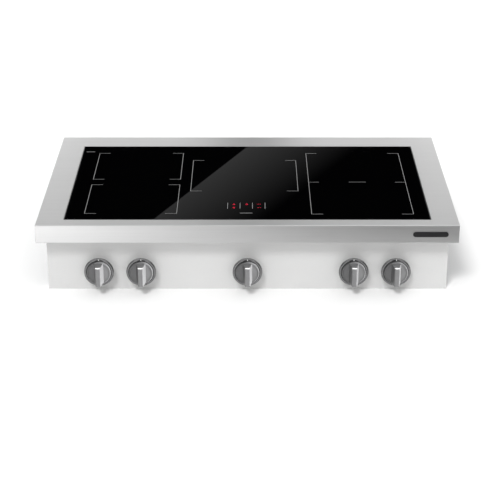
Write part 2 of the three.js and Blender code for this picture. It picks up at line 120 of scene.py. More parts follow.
class Finish:
    # a material with its Principled shader; constants go straight on the shader's sockets
    def __init__(self, name, constants):
        self.material = bpy.data.materials.new(name)
        self.material.use_nodes = True
        self.tree = self.material.node_tree
        self.shader = self.tree.nodes["Principled BSDF"]
        for socket, value in constants.items():
            value = (*value, 1) if isinstance(value, tuple) else value
            self.shader.inputs[socket].default_value = value

    def node(self, kind, settings=None, values=None, output=0):
        made = self.tree.nodes.new(kind)
        for name, value in (settings or {}).items():
            setattr(made, name, value)
        for name, value in (values or {}).items():
            socket = next(s for s in made.inputs if name in (s.identifier, s.name))
            if isinstance(value, Term):
                self.tree.links.new(value.socket, socket)
            else:
                socket.default_value = value
        return Term(self.tree, made.outputs[output])

    def feed(self, socket, term):
        self.tree.links.new(term.socket, self.shader.inputs[socket])

    # Object coordinates, moved to a centre and stretched
    def coordinates(self, stretch=(1, 1, 1), centre=(0, 0, 0)):
        values = {"Vector": self.node("ShaderNodeTexCoord", output=3),
                  "Location": [-c for c in centre]}
        values = {"Vector": self.node("ShaderNodeMapping", None, values), "Scale": stretch}
        return self.node("ShaderNodeMapping", None, values)

    def noise(self, scale, detail=2.0, roughness=0.5, stretch=(1, 1, 1)):
        values = {"Vector": self.coordinates(stretch), "Scale": scale, "Detail": detail,
                  "Roughness": roughness}
        return self.node("ShaderNodeTexNoise", None, values)

    def cells(self, scale, feature="F1", output=0):
        values = {"Vector": self.coordinates(), "Scale": scale}
        return self.node("ShaderNodeTexVoronoi", {"feature": feature}, values, output)

    def axisPlaces(self, centre=(0, 0, 0)):
        place = self.coordinates(centre=centre)
        split = self.tree.nodes.new("ShaderNodeSeparateXYZ")
        self.tree.links.new(place.socket, split.inputs[0])
        return [Term(self.tree, socket) for socket in split.outputs]

    def blendColours(self, factor, first, second):
        values = {"Factor_Float": factor, "A_Color": (*first, 1), "B_Color": (*second, 1)}
        sockets = self.node("ShaderNodeMix", {"data_type": "RGBA"}, values).socket.node.outputs
        return Term(self.tree, next(s for s in sockets if s.identifier == "Result_Color"))

    def colour(self, factor, first, second):
        self.feed("Base Color", self.blendColours(factor, first, second))

    def bump(self, height, distance, strength=1.0):
        values = {"Height": height, "Distance": distance, "Strength": strength}
        self.feed("Normal", self.node("ShaderNodeBump", None, values))


# finishes of this object's pieces

def brushedSteel(name, across, dark=(0.52, 0.52, 0.522), light=(0.67, 0.67, 0.668)):
    steel = Finish(name, {"Metallic": 0.9, "Specular IOR Level": 0.5})
    grain = steel.noise(1.0, 3.0, 0.6, stretch=across)
    streak = steel.noise(1.0, 2.0, 0.5, stretch=[value * 0.11 for value in across])
    cloud = steel.noise(3.2, 3.0)
    steel.colour((0.45 * grain + 0.35 * streak + 0.2 * cloud).limited(), dark, light)
    steel.feed("Roughness", 0.27 + 0.1 * grain + 0.06 * cloud + 0.04 * streak)
    steel.bump(grain, 0.00003, 0.5)
    return steel.material


def blackGlass():
    glass = Finish("glassCeramic", {"IOR": 1.5, "Specular IOR Level": 0.5})
    smear = glass.noise(5.0, 4.0, 0.6, stretch=(1, 1.6, 1))
    speck = glass.noise(900.0, 1.0)
    glass.colour(speck, (0.0003, 0.0003, 0.0004), (0.001, 0.001, 0.0012))
    glass.feed("Roughness", 0.012 + 0.05 * (smear - 0.5).limited())
    return glass.material


def satinMetal(name, centre, dark=(0.1, 0.1, 0.102), light=(0.18, 0.18, 0.182), rough=0.3):
    # fine turning marks round the centre
    metal = Finish(name, {"Metallic": 0.5})
    x, y, z = metal.axisPlaces(centre)
    radius = (x * x + z * z) ** 0.5
    turning = (radius * 9000.0).sine()
    fine = metal.noise(1100.0, 2.0, 0.6, stretch=(1, 1, 0.05))
    cloud = metal.noise(45.0, 2.0)
    metal.colour((0.55 * fine + 0.45 * cloud).limited(), dark, light)
    metal.feed("Roughness", rough + 0.09 * fine + 0.03 * turning + 0.04 * cloud)
    metal.bump(0.6 * fine + 0.4 * turning, 0.00001, 0.5)
    return metal.material


def polishedMetal(name, dark, light, rough=0.16):
    metal = Finish(name, {"Metallic": 1.0})
    cloud = metal.noise(60.0, 3.0)
    fine = metal.noise(1500.0, 2.0)
    metal.colour(cloud, dark, light)
    metal.feed("Roughness", rough + 0.06 * fine + 0.04 * cloud)
    metal.bump(fine, 0.000006, 0.4)
    return metal.material


def zincSheet():
    zinc = Finish("zincSheet", {"Metallic": 0.85})
    spangle = zinc.cells(75.0, output=1)
    tone = zinc.node("ShaderNodeRGBToBW", None, {"Color": spangle})
    cloud = zinc.noise(14.0, 4.0, 0.6)
    zinc.colour((0.5 * tone + 0.5 * cloud).limited(), (0.42, 0.44, 0.46), (0.68, 0.7, 0.72))
    zinc.feed("Roughness", 0.34 + 0.16 * tone + 0.1 * cloud)
    zinc.bump(0.5 * tone + 0.5 * zinc.noise(600.0, 2.0), 0.00002, 0.4)
    return zinc.material


def millAluminium():
    alu = Finish("millAluminium", {"Metallic": 1.0})
    grain = alu.noise(1.0, 3.0, stretch=(900, 8, 900))
    cloud = alu.noise(20.0, 3.0)
    alu.colour((0.6 * grain + 0.4 * cloud).limited(), (0.6, 0.61, 0.62), (0.8, 0.81, 0.82))
    alu.feed("Roughness", 0.3 + 0.16 * grain)
    alu.bump(grain, 0.00002, 0.4)
    return alu.material


def powderCoat(name, dark, light, rough=0.42, peel=520.0):
    coat = Finish(name, {"Specular IOR Level": 0.5})
    skin = coat.noise(peel, 2.0, 0.45)
    cloud = coat.noise(7.0, 3.0)
    fleck = coat.noise(2600.0, 1.0)
    coat.colour((0.3 * skin + 0.5 * cloud + 0.2 * fleck).limited(), dark, light)
    coat.feed("Roughness", rough + 0.1 * skin)
    coat.bump(skin, 0.00005, 0.35)
    return coat.material


def mouldedPlastic(name, dark, light, rough=0.45, grain=1400.0):
    plastic = Finish(name, {"Specular IOR Level": 0.5})
    texture = plastic.noise(grain, 2.0, 0.6)
    cloud = plastic.noise(25.0, 3.0)
    plastic.colour((0.4 * texture + 0.6 * cloud).limited(), dark, light)
    plastic.feed("Roughness", rough + 0.14 * texture)
    plastic.bump(texture, 0.00003, 0.5)
    return plastic.material


def siliconeRubber(name, dark, light):
    rubber = Finish(name, {"Specular IOR Level": 0.35})
    skin = rubber.noise(700.0, 2.0)
    cloud = rubber.noise(30.0, 2.0)
    rubber.colour(cloud, dark, light)
    rubber.feed("Roughness", 0.5 + 0.2 * skin)
    rubber.bump(skin, 0.00004, 0.4)
    return rubber.material


def enamelledCopper():
    copper = Finish("enamelledCopper", {"Metallic": 0.85, "Coat Roughness": 0.1})
    cloud = copper.noise(80.0, 3.0)
    strand = copper.noise(1900.0, 1.0)
    copper.colour((0.5 * cloud + 0.5 * strand).limited(), (0.42, 0.16, 0.06), (0.72, 0.34, 0.16))
    copper.feed("Roughness", 0.3 + 0.18 * strand)
    copper.bump(strand, 0.00003, 0.5)
    return copper.material


def micaSheet():
    mica = Finish("micaSheet", {"Specular IOR Level": 0.4})
    flake = mica.cells(260.0, output=1)
    tone = mica.node("ShaderNodeRGBToBW", None, {"Color": flake})
    shade = (0.6 * tone + 0.4 * mica.noise(30.0, 4.0)).limited()
    mica.colour(shade, (0.4, 0.34, 0.22), (0.66, 0.6, 0.46))
    mica.feed("Roughness", 0.4 + 0.3 * tone)
    mica.bump(tone, 0.00002, 0.4)
    return mica.material


def solderMask():
    board = Finish("solderMask", {"Specular IOR Level": 0.5})
    trace = board.cells(190.0, "DISTANCE_TO_EDGE")
    copperLine = (0.05 - trace).above(0.0)
    shade = (0.7 * copperLine + 0.3 * board.noise(60.0, 3.0)).limited()
    board.colour(shade, (0.012, 0.09, 0.035), (0.05, 0.24, 0.1))
    board.feed("Roughness", 0.28 + 0.1 * board.noise(400.0, 2.0))
    board.bump(copperLine, 0.00004, 0.5)
    return board.material


def printedGrey():
    ink = Finish("printedGrey", {"Specular IOR Level": 0.3})
    wear = ink.noise(420.0, 2.0)
    ink.colour(wear, (0.19, 0.19, 0.19), (0.27, 0.27, 0.27))
    ink.feed("Roughness", 0.4 + 0.2 * wear)
    return ink.material


def braidedSleeve():
    # crossing strands round the wires
    sleeve = Finish("braidedSleeve", {"Specular IOR Level": 0.4})
    x, y, z = sleeve.axisPlaces()
    strands = 2600.0
    weave = ((x + z) * strands).sine() * ((x - z) * strands).sine() * 0.5 + 0.5
    sleeve.colour(weave, (0.012, 0.012, 0.013), (0.06, 0.06, 0.063))
    sleeve.feed("Roughness", 0.45 + 0.2 * weave)
    sleeve.bump(weave, 0.0002, 0.6)
    return sleeve.material


def litRed(strength):
    lamp = Finish("litRed", {"Base Color": (0.25, 0.005, 0.012), "Emission Strength": strength,
                             "Roughness": 0.4, "Specular IOR Level": 0.08})
    glow = lamp.noise(700.0, 1.0)
    lamp.feed("Emission Color", lamp.blendColours(glow, (0.62, 0.001, 0.03), (0.88, 0.002, 0.045)))
    return lamp.material


finishes = {
    "stainless": brushedSteel("brushedSteel", (5.0, 620.0, 620.0)),
    "stainlessSide": brushedSteel("brushedSteelSide", (620.0, 620.0, 5.0)),
    "glass": blackGlass(),
    "silicone": siliconeRubber("jointSilicone", (0.012, 0.012, 0.013), (0.03, 0.03, 0.032)),
    "badge": mouldedPlastic("badgeBlack", (0.006, 0.006, 0.007), (0.014, 0.014, 0.015), 0.3),
    "zinc": zincSheet(),
    "aluminium": millAluminium(),
    "copper": enamelledCopper(),
    "coilPlastic": mouldedPlastic("coilPlastic", (0.02, 0.02, 0.022), (0.045, 0.045, 0.05)),
    "mica": micaSheet(),
    "sensorRubber": siliconeRubber("sensorRubber", (0.42, 0.09, 0.04), (0.6, 0.16, 0.09)),
    "board": solderMask(),
    "blackPlastic": mouldedPlastic("blackPlastic", (0.012, 0.012, 0.013), (0.03, 0.03, 0.032)),
    "greyPlastic": mouldedPlastic("greyPlastic", (0.16, 0.165, 0.17), (0.25, 0.255, 0.26)),
    "bezel": polishedMetal("bezelMetal", (0.15, 0.15, 0.153), (0.24, 0.24, 0.243), 0.2),
    # lighter grey on the grip's pointer chamfer: a painted highlight standing in for the glint on
    # that chamfer
    "paintedHighlightChamfer": powderCoat("pointerChamferPaintedHighlight", (0.36, 0.36, 0.36), (0.44, 0.44, 0.44), 0.3, 1200.0),
    "plated": polishedMetal("platedSteel", (0.5, 0.5, 0.5), (0.66, 0.66, 0.65), 0.22),
    "coat": powderCoat("paleCoat", (0.56, 0.56, 0.557), (0.66, 0.66, 0.657)),
    "white": powderCoat("whitePaint", (0.75, 0.75, 0.74), (0.85, 0.85, 0.84), 0.4, 900.0),
    "print": printedGrey(),
    "lit": litRed(1.15),
    "brass": polishedMetal("tinnedBrass", (0.55, 0.47, 0.3), (0.68, 0.6, 0.4), 0.25),
    "ferrite": mouldedPlastic("ferriteBar", (0.03, 0.03, 0.032), (0.06, 0.06, 0.062), 0.55, 2200.0),
    "filmBox": mouldedPlastic("filmBox", (0.5, 0.33, 0.05), (0.62, 0.43, 0.09), 0.35),
    "capSleeve": mouldedPlastic("capSleeve", (0.012, 0.02, 0.05), (0.025, 0.04, 0.09), 0.3),
    "whitePlastic": mouldedPlastic("whitePlastic", (0.62, 0.61, 0.57), (0.75, 0.74, 0.7), 0.42),
    "sleeve": braidedSleeve(),
    "ledBody": mouldedPlastic("ledBody", (0.09, 0.004, 0.006), (0.15, 0.008, 0.012), 0.3),
}
print("finishes made")


# mesh helpers

def inMillimetres(*pairs):
    return [(first * mm, second * mm) for first, second in pairs]


def newObject(name, data):
    obj = bpy.data.objects.new(name, data)
    bpy.context.scene.collection.objects.link(obj)
    return obj


def addBlock(bm, low, high):
    made = bmesh.ops.create_cube(bm, size=1)["verts"]
    low, high = Vector(low), Vector(high)
    bmesh.ops.scale(bm, vec=high - low, verts=made)
    bmesh.ops.translate(bm, vec=(low + high) / 2, verts=made)
    return made


def addTurned(bm, profile, centre=(0, 0, 0), axis="Y", steps=48, ring=False):
    # profile: (radius, place along the axis); a ring's profile closes on itself
    order = {"X": (1, 0, 2), "Y": (0, 1, 2), "Z": (0, 2, 1)}[axis]
    points = [[(r, h, 0)[i] for i in order] for r, h in profile]
    verts = [bm.verts.new(Vector(point) + Vector(centre)) for point in points]
    pairs = list(zip(verts, verts[1:])) + ([(verts[-1], verts[0])] if ring else [])
    edges = [bm.edges.new(pair) for pair in pairs]
    direction = {"X": (1, 0, 0), "Y": (0, 1, 0), "Z": (0, 0, 1)}[axis]
    bmesh.ops.spin(bm, geom=verts + edges, cent=centre, axis=direction, dvec=(0, 0, 0),
                   angle=2 * pi, steps=steps, use_merge=True, use_duplicate=False)


def addOutline(bm, points, low, high, axis="Z"):
    # a flat outline of (x, y) points, raised from low to high along Z, or of (x, z) points along Y
    corners = [(x, y, low) if axis == "Z" else (x, low, y) for x, y in points]
    face = bm.faces.new([bm.verts.new(corner) for corner in corners])
    raised = bmesh.ops.extrude_face_region(bm, geom=[face])["geom"]
    shift = {"Y": (0, 1, 0), "Z": (0, 0, 1)}[axis]
    moved = [item for item in raised if isinstance(item, bmesh.types.BMVert)]
    bmesh.ops.translate(bm, vec=Vector(shift) * (high - low), verts=moved)


def soften(bm, width, segments=2, angle=30.0, where=None):
    bmesh.ops.remove_doubles(bm, verts=bm.verts, dist=1e-7)
    bmesh.ops.recalc_face_normals(bm, faces=bm.faces)
    sharp = [edge for edge in bm.edges if len(edge.link_faces) == 2
             and edge.calc_face_angle() > radians(angle) and (where is None or where(edge))]
    bmesh.ops.bevel(bm, geom=sharp, offset=width, offset_type="OFFSET", segments=segments,
                    profile=0.5, affect="EDGES", material=-1, clamp_overlap=True)


def asMesh(name, bm, angle=35.0):
    bmesh.ops.remove_doubles(bm, verts=bm.verts, dist=1e-7)
    bmesh.ops.recalc_face_normals(bm, faces=bm.faces)
    mesh = bpy.data.meshes.new(name)
    bm.to_mesh(mesh)
    bm.free()
    return shaded(mesh, angle)


def shaded(mesh, angle=35.0):
    mesh.polygons.foreach_set("use_smooth", [True] * len(mesh.polygons))
    mesh.set_sharp_from_angle(angle=radians(angle))
    return mesh


def addPiece(name, mesh, finish=None, body="root", nodes=()):
    obj = newObject(name, mesh)
    if not mesh.materials:
        mesh.materials.append(finishes[finish])
    addModifier(obj, "WEIGHTED_NORMAL", {"keep_sharp": True, "weight": 80})
    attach(obj, body)
    if nodes:
        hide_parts(*nodes)
    return obj


def addModifier(obj, kind, settings):
    modifier = obj.modifiers.new(kind.lower(), kind)
    for name, value in settings.items():
        setattr(modifier, name, value)
    return modifier


def applied(obj):
    # the object's mesh with its modifiers made part of it
    shaped = finalMesh(obj)
    obj.modifiers.clear()
    obj.data = shaped
    return obj


def finalMesh(obj):
    bpy.context.view_layer.update()
    graph = bpy.context.evaluated_depsgraph_get()
    return bpy.data.meshes.new_from_object(obj.evaluated_get(graph))


def combine(obj, mesh, operation="DIFFERENCE"):
    # cuts a mesh away from the object, or with UNION adds it
    other = newObject("other", mesh)
    addModifier(obj, "BOOLEAN", {"operation": operation, "solver": "EXACT", "object": other})
    applied(obj)
    bpy.data.objects.remove(other)


# camera, light and floor

cameraSettings = {"place": (0.0061, -3.3365, 1.4365), "pitch": 23.66, "lens": 110.3}


def makeCamera():
    camera = bpy.data.cameras.new("camera")
    camera.lens = cameraSettings["lens"]
    camera.sensor_width = 36
    camera.clip_start = 0.05
    obj = newObject("camera", camera)
    obj.location = cameraSettings["place"]
    obj.rotation_euler = (radians(90 - cameraSettings["pitch"]), 0, 0)
    bpy.context.scene.camera = obj


sunSettings = {"from": (-0.35, -1.0, 1.2), "strength": 1.5, "softness": 15}
knobLightSettings = {"from": (0.97, -0.2, 0.14), "distance": 0.8, "size": 0.22, "power": 54}


def aimedLight(name, kind, settings, place, towards):
    light = bpy.data.lights.new(name, kind)
    for key, value in settings.items():
        setattr(light, key, value)
    obj = newObject(name, light)
    obj.location = place
    obj.rotation_euler = (Vector(towards) - Vector(place)).to_track_quat("-Z", "Y").to_euler()
    obj.visible_glossy = False
    return obj


def makeLights():
    s = sunSettings
    settings = {"energy": s["strength"], "angle": radians(s["softness"])}
    aimedLight("sun", "SUN", settings, s["from"], (0, 0, 0))


def lightKnob(number, pieces):
    # a small lamp to the right of one knob, for that knob alone
    s = knobLightSettings
    centre = knobCentre(number) + Vector((0, -20 * mm, 0))
    place = centre + Vector(s["from"]).normalized() * s["distance"]
    settings = {"energy": s["power"], "size": s["size"]}
    lamp = aimedLight(f"knobLamp{number}", "AREA", settings, place, centre)
    group = bpy.data.collections.new(f"knobGroup{number}")
    for piece in pieces:
        group.objects.link(piece)
    lamp.light_linking.receiver_collection = group
    lamp.light_linking.blocker_collection = group


worldSettings = {"diffuse": 0.84, "back": 1.2, "band": 0.22, "above": 1.33, "horizon": 0.75}


def makeWorld():
    # plain light for matt surfaces; a dark band round the room, open at the back, for glossy ones
    s = worldSettings
    world = bpy.data.worlds.new("studio")
    bpy.context.scene.world = world
    world.use_nodes = True
    tree = world.node_tree
    background = tree.nodes["Background"]
    place = tree.nodes.new("ShaderNodeTexCoord")
    split = tree.nodes.new("ShaderNodeSeparateXYZ")
    tree.links.new(place.outputs["Generated"], split.inputs[0])
    x, y, z = (Term(tree, socket) for socket in split.outputs)
    ray = tree.nodes.new("ShaderNodeLightPath")
    glossy = Term(tree, ray.outputs["Is Glossy Ray"])
    seen = Term(tree, ray.outputs["Is Camera Ray"])
    rise = ((z - 0.42) * 3.5).limited()
    fall = ((0.16 - z) * 8.0).limited()
    ring = s["band"] + (s["above"] - s["band"]) * rise + (s["horizon"] - s["band"]) * fall
    opening = ((y - 0.7) * 9.0).limited()
    room = opening * s["back"] + (1 - opening) * ring
    strength = glossy * room + (1 - glossy) * (s["diffuse"] + (1 - s["diffuse"]) * seen)
    tree.links.new(strength.socket, background.inputs["Strength"])
    background.inputs["Color"].default_value = (1, 1, 1, 1)
    bpy.context.scene.view_settings.view_transform = "Standard"


floorSettings = {"size": 12, "colour": (0.97, 0.97, 0.968), "roughness": 0.9, "shine": 0.1}


def makeFloor():
    s = floorSettings
    bm = bmesh.new()
    bmesh.ops.create_grid(bm, x_segments=1, y_segments=1, size=s["size"])
    bmesh.ops.translate(bm, vec=(0, 0, cadBox[0].z), verts=bm.verts)
    mesh = bpy.data.meshes.new("floor")
    bm.to_mesh(mesh)
    bm.free()
    pale = Finish("paleFloor", {"Base Color": s["colour"], "Roughness": s["roughness"],
                                "Specular IOR Level": s["shine"]})
    mesh.materials.append(pale.material)
    newObject("floor", mesh)


def glossyCard(name, corners, strength):
    # a studio card that only reflections see; strength(x, z) is its brightness
    bm = bmesh.new()
    bm.faces.new([bm.verts.new(corner) for corner in corners])
    mesh = bpy.data.meshes.new(name)
    bm.to_mesh(mesh)
    bm.free()
    material = bpy.data.materials.new(name)
    material.use_nodes = True
    tree = material.node_tree
    tree.nodes.clear()
    place = tree.nodes.new("ShaderNodeTexCoord")
    split = tree.nodes.new("ShaderNodeSeparateXYZ")
    tree.links.new(place.outputs["Object"], split.inputs[0])
    emission = tree.nodes.new("ShaderNodeEmission")
    output = tree.nodes.new("ShaderNodeOutputMaterial")
    tree.links.new(emission.outputs[0], output.inputs[0])
    level = strength(Term(tree, split.outputs["X"]), Term(tree, split.outputs["Z"]))
    tree.links.new(level.socket, emission.inputs["Strength"])
    mesh.materials.append(material)
    card = newObject(name, mesh)
    for ray in ("camera", "diffuse", "transmission", "volume_scatter", "shadow"):
        setattr(card, "visible_" + ray, False)


backCard = {"y": 2.0, "half": 2.4, "low": 0.0, "high": 2.1,
            "glassLow": 0.572, "glassHigh": 0.884, "glassHalf": 0.62, "taper": 0.27,
            "edgeLow": (-0.01, 0.58), "edgeHigh": (-0.37, 0.876), "peak": 0.19, "fade": 0.42,
            "bright": 2.5, "lower": 1.45, "dip": 0.78, "dipHalf": 0.18, "edgeFall": 0.34}
floorCard = {"half": 1.6, "front": -2.6, "rear": -0.27, "lift": 0.002, "span": 1.1,
             "left": 1.95, "right": 0.03}


def makeCards():
    s = backCard
    run = (s["edgeHigh"][0] - s["edgeLow"][0]) / (s["edgeHigh"][1] - s["edgeLow"][1])

    def behind(x, z):
        # dark where the glass mirrors it, but for one fading patch; bright elsewhere for the steel
        half = s["glassHalf"] + (z - s["glassLow"]) * s["taper"]
        inGlass = (half - x.size()).above(0.0) * z.above(s["glassLow"])
        inGlass = inGlass * (s["glassHigh"] - z).above(0.0)
        past = x - (z - s["edgeLow"][1]) * run - s["edgeLow"][0]
        patch = s["peak"] * past.above(0.0) * (1 - past / s["fade"]).limited() ** 1.15
        dip = (1 - (x / s["dipHalf"]) ** 2).limited()
        steel = (s["bright"] - s["lower"] * z) * (1 - s["dip"] * dip)
        steel = steel * (1 - s["edgeFall"] * x * x).limited()
        return inGlass * patch + (1 - inGlass) * steel

    half, y, low, high = s["half"], s["y"], s["low"], s["high"]
    corners = [(-half, y, low), (half, y, low), (half, y, high), (-half, y, high)]
    glossyCard("backCard", corners, behind)
    c = floorCard
    half, front, rear, level = c["half"], c["front"], c["rear"], cadBox[0].z + c["lift"]

    def below(x, z):
        # bright at the left end of the apron, dark at the right
        slope = (x / c["span"] + 0.5).limited()
        return (c["left"] ** 0.5 * (1 - slope) + c["right"] ** 0.5 * slope) ** 2

    corners = [(-half, front, level), (half, front, level), (half, rear, level),
               (-half, rear, level)]
    glossyCard("floorCard", corners, below)


makeCamera()
makeLights()
makeWorld()
makeFloor()
makeCards()
print("stage set")


# stainless steel top

topSettings = {"sheet": 1.5 * mm, "frontFlange": 30 * mm, "otherFlange": 20 * mm, "fold": 1.6 * mm,
               "windowFold": 0.7 * mm, "joint": 1.5 * mm, "ledge": 12 * mm, "ledgeDepth": 5.5 * mm}
glassLow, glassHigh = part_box("glass_panel")
topLow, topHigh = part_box("top_frame")


def makeTop():
    s = topSettings
    bm = bmesh.new()
    bmesh.ops.create_grid(bm, x_segments=1, y_segments=1, size=0.5)
    size, middle = topHigh - topLow, (topLow + topHigh) / 2
    bmesh.ops.scale(bm, vec=(size.x, size.y, 1), verts=bm.verts)
    bmesh.ops.translate(bm, vec=(middle.x, middle.y, topHigh.z), verts=bm.verts)
    window = {"left": glassLow.x - s["joint"], "right": glassHigh.x + s["joint"],
              "front": glassLow.y - s["joint"], "back": glassHigh.y + s["joint"]}
    for x in (window["left"], window["right"]):
        bmesh.ops.bisect_plane(bm, geom=bm.verts[:] + bm.edges[:] + bm.faces[:], plane_co=(x, 0, 0),
                               plane_no=(1, 0, 0))
    for y in (window["front"], window["back"]):
        bmesh.ops.bisect_plane(bm, geom=bm.verts[:] + bm.edges[:] + bm.faces[:], plane_co=(0, y, 0),
                               plane_no=(0, 1, 0))

    def inWindow(point, margin=0.0001):
        return (window["left"] - margin < point.x < window["right"] + margin
                and window["front"] - margin < point.y < window["back"] + margin)

    middleFace = [face for face in bm.faces if inWindow(face.calc_center_median(), -0.01)]
    bmesh.ops.delete(bm, geom=middleFace, context="FACES_ONLY")
    rim = [edge for edge in bm.edges if edge.is_boundary]
    inner = [edge for edge in rim if inWindow(edge.verts[0].co) and inWindow(edge.verts[1].co)]
    outer = [edge for edge in rim if edge not in inner]

    def pull(edges, shift, reach):
        # extrudes a loop of edges, shifts it, and draws its left, right, front and back in by reach
        made = bmesh.ops.extrude_edge_only(bm, edges=edges)["geom"]
        verts = [item for item in made if isinstance(item, bmesh.types.BMVert)]
        bmesh.ops.translate(bm, vec=shift, verts=verts)
        ends = [min(v.co.x for v in verts), max(v.co.x for v in verts),
                min(v.co.y for v in verts), max(v.co.y for v in verts)]
        for vert in verts:
            for axis in (0, 1):
                near, far = ends[2 * axis], ends[2 * axis + 1]
                if abs(vert.co[axis] - near) < 1e-6:
                    vert.co[axis] += reach[2 * axis]
                elif abs(vert.co[axis] - far) < 1e-6:
                    vert.co[axis] -= reach[2 * axis + 1]
        return [item for item in made if isinstance(item, bmesh.types.BMEdge)]

    hem = pull(outer, (0, 0, topLow.z - topHigh.z), (0, 0, 0, 0))
    other = s["otherFlange"]
    pull(hem, (0, 0, 0), (other, other, s["frontFlange"], other))
    lip = pull(inner, (0, 0, -s["ledgeDepth"]), (0, 0, 0, 0))
    pull(lip, (0, 0, 0), (s["ledge"],) * 4)
    soften(bm, s["fold"], 5, where=lambda e: not all(inWindow(v.co) for v in e.verts))
    soften(bm, s["windowFold"], 4, angle=60.0, where=lambda e: all(inWindow(v.co) for v in e.verts))
    mesh = asMesh("stainlessTop", bm)
    if max(mesh.polygons, key=lambda p: p.area).normal.z < 0:
        mesh.flip_normals()
    mesh.materials.append(finishes["stainless"])
    mesh.materials.append(finishes["stainlessSide"])
    for polygon in mesh.polygons:
        polygon.material_index = 1 if abs(polygon.normal.x) > 0.75 else 0
    top = addPiece("stainlessTop", mesh, "stainless", "root", ("top_frame",))
    top.modifiers.clear()
    addModifier(top, "SOLIDIFY", {"thickness": s["sheet"], "offset": -1.0, "use_even_offset": True})
    applied(top)
    shaded(top.data)
    addModifier(top, "WEIGHTED_NORMAL", {"keep_sharp": True, "weight": 80})


def makeGlass():
    bm = bmesh.new()
    addBlock(bm, glassLow, glassHigh)
    soften(bm, 0.7 * mm, 2)
    addPiece("glassPanel", asMesh("glassPanel", bm), "glass", nodes=("glass_panel",))


sealSettings = {"gap": 0.3 * mm, "pad": 10.5 * mm, "dip": 0.25 * mm}


def makeSeal():
    # a bead between the glass and the steel, a little hollow, over a pad under the glass
    low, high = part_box("glass_seal")
    s = sealSettings
    bm = bmesh.new()
    half = Vector(((high.x - low.x) / 2, (high.y - low.y) / 2, 0))
    centre = Vector(((high.x + low.x) / 2, (high.y + low.y) / 2, 0))
    padTop = glassLow.z - s["gap"]
    bead = glassHigh.x + s["gap"]
    steps = [(0, low.z), (s["pad"], low.z), (s["pad"], padTop), (half.x - bead, padTop),
             (half.x - bead, high.z), ((half.x - bead) / 2, high.z - s["dip"]), (0, high.z)]
    loops = []
    for inward, z in steps:
        corners = [centre + Vector((sx * (half.x - inward), sy * (half.y - inward), z))
                   for sx, sy in ((-1, -1), (1, -1), (1, 1), (-1, 1))]
        verts = [bm.verts.new(corner) for corner in corners]
        loops.append([bm.edges.new((verts[i], verts[(i + 1) % 4])) for i in range(4)])
    for first, second in zip(loops, loops[1:] + loops[:1]):
        bmesh.ops.bridge_loops(bm, edges=first + second)
    addPiece("glassJoint", asMesh("glassJoint", bm), "silicone", nodes=("glass_seal",))


# printed marks on the glass, in millimetres

markSettings = {"line": 1.3, "arm": 28.5, "height": 0.04, "tick": 1.3, "dash": 2.4, "gap": 0.05}
zoneMarks = [(-391, -169, 285, 477), (-391, -169, 57, 248), (-142, 126, 204, 423),
             (153, 398, 53, 476)]  # left, right, front, back
flexMark = {"x": (153, 398), "y": 265, "arm": 27, "dash": (255, 298, 266)}
displayMarks = {"ticks": (-48, -18, 12, 42.5), "y": (88, 126), "dash": (-18, 12, 60)}
cornerDash = (-427, -404, 488)


def addBracket(bm, x, y0, y1, arm):
    # a square bracket with its back at x and its arms towards x + arm
    line = markSettings["line"] * (1 if arm > 0 else -1)
    points = [(x, y0), (x + arm, y0), (x + arm, y0 + abs(line)), (x + line, y0 + abs(line)),
              (x + line, y1 - abs(line)), (x + arm, y1 - abs(line)), (x + arm, y1), (x, y1)]
    addMark(bm, points)


def addMark(bm, points):
    low = glassHigh.z + 0.005 * mm
    addOutline(bm, [(x * mm, y * mm) for x, y in points], low, low + markSettings["height"] * mm)


def addBar(bm, x0, x1, y0, y1):
    addMark(bm, [(x0, y0), (x1, y0), (x1, y1), (x0, y1)])


def makeMarks():
    s = markSettings
    bm = bmesh.new()
    for left, right, front, back in zoneMarks:
        addBracket(bm, left, front, back, s["arm"])
        addBracket(bm, right, front, back, -s["arm"])
    half = s["line"] / 2
    left, right = flexMark["x"]
    y = flexMark["y"]
    inner, outer = s["line"] + s["gap"], flexMark["arm"]
    addBar(bm, left + inner, left + outer, y - half, y + half)
    addBar(bm, right - outer, right - inner, y - half, y + half)
    x0, x1, y = flexMark["dash"]
    addBar(bm, x0, x1, y - half, y + half)
    addPiece("zoneMarks", asMesh("zoneMarks", bm), "print")
    bm = bmesh.new()
    for x in displayMarks["ticks"]:
        addBar(bm, x - s["tick"] / 2, x + s["tick"] / 2, *displayMarks["y"])
    for x0, x1, y in (displayMarks["dash"], cornerDash):
        addBar(bm, x0, x1, y - s["dash"] / 2, y + s["dash"] / 2)
    addPiece("displayMarks", asMesh("displayMarks", bm), "print")


# lit figures seen through the glass: seven-segment noughts and dashes, in millimetres

figureSettings = {"width": 5.0, "height": 8.0, "stroke": 1.3, "gap": 0.2}
litFigures = [(-33, 115.5, "abcdef"), (-33, 94.5, "abcdef"), (-2, 116.5, "abcdef"),
              (25.6, 116.5, "g"), (31, 116.5, "g"), (25.6, 95, "g"), (31, 95, "g")]


def addSegment(bm, x, y, length, upright):
    # one segment with pointed ends, its middle at x, y
    w = figureSettings["stroke"] / 2
    h = length / 2 - figureSettings["gap"]
    points = [(-h, 0), (-h + w, -w), (h - w, -w), (h, 0), (h - w, w), (-h + w, w)]
    if upright:
        points = [(-py, px) for px, py in points]
    addMark(bm, [(x + px, y + py) for px, py in points])


def makeFigures():
    s = figureSettings
    w, h = s["width"] - s["stroke"], s["height"] - s["stroke"]
    places = {"a": (0, h / 2, w, False), "d": (0, -h / 2, w, False), "g": (0, 0, w, False),
              "b": (w / 2, h / 4, h / 2, True), "c": (w / 2, -h / 4, h / 2, True),
              "e": (-w / 2, -h / 4, h / 2, True), "f": (-w / 2, h / 4, h / 2, True)}
    bm = bmesh.new()
    for x, y, segments in litFigures:
        for segment in segments:
            dx, dy, length, upright = places[segment]
            addSegment(bm, x + dx, y + dy, length, upright)
    addPiece("litFigures", asMesh("litFigures", bm), "lit")


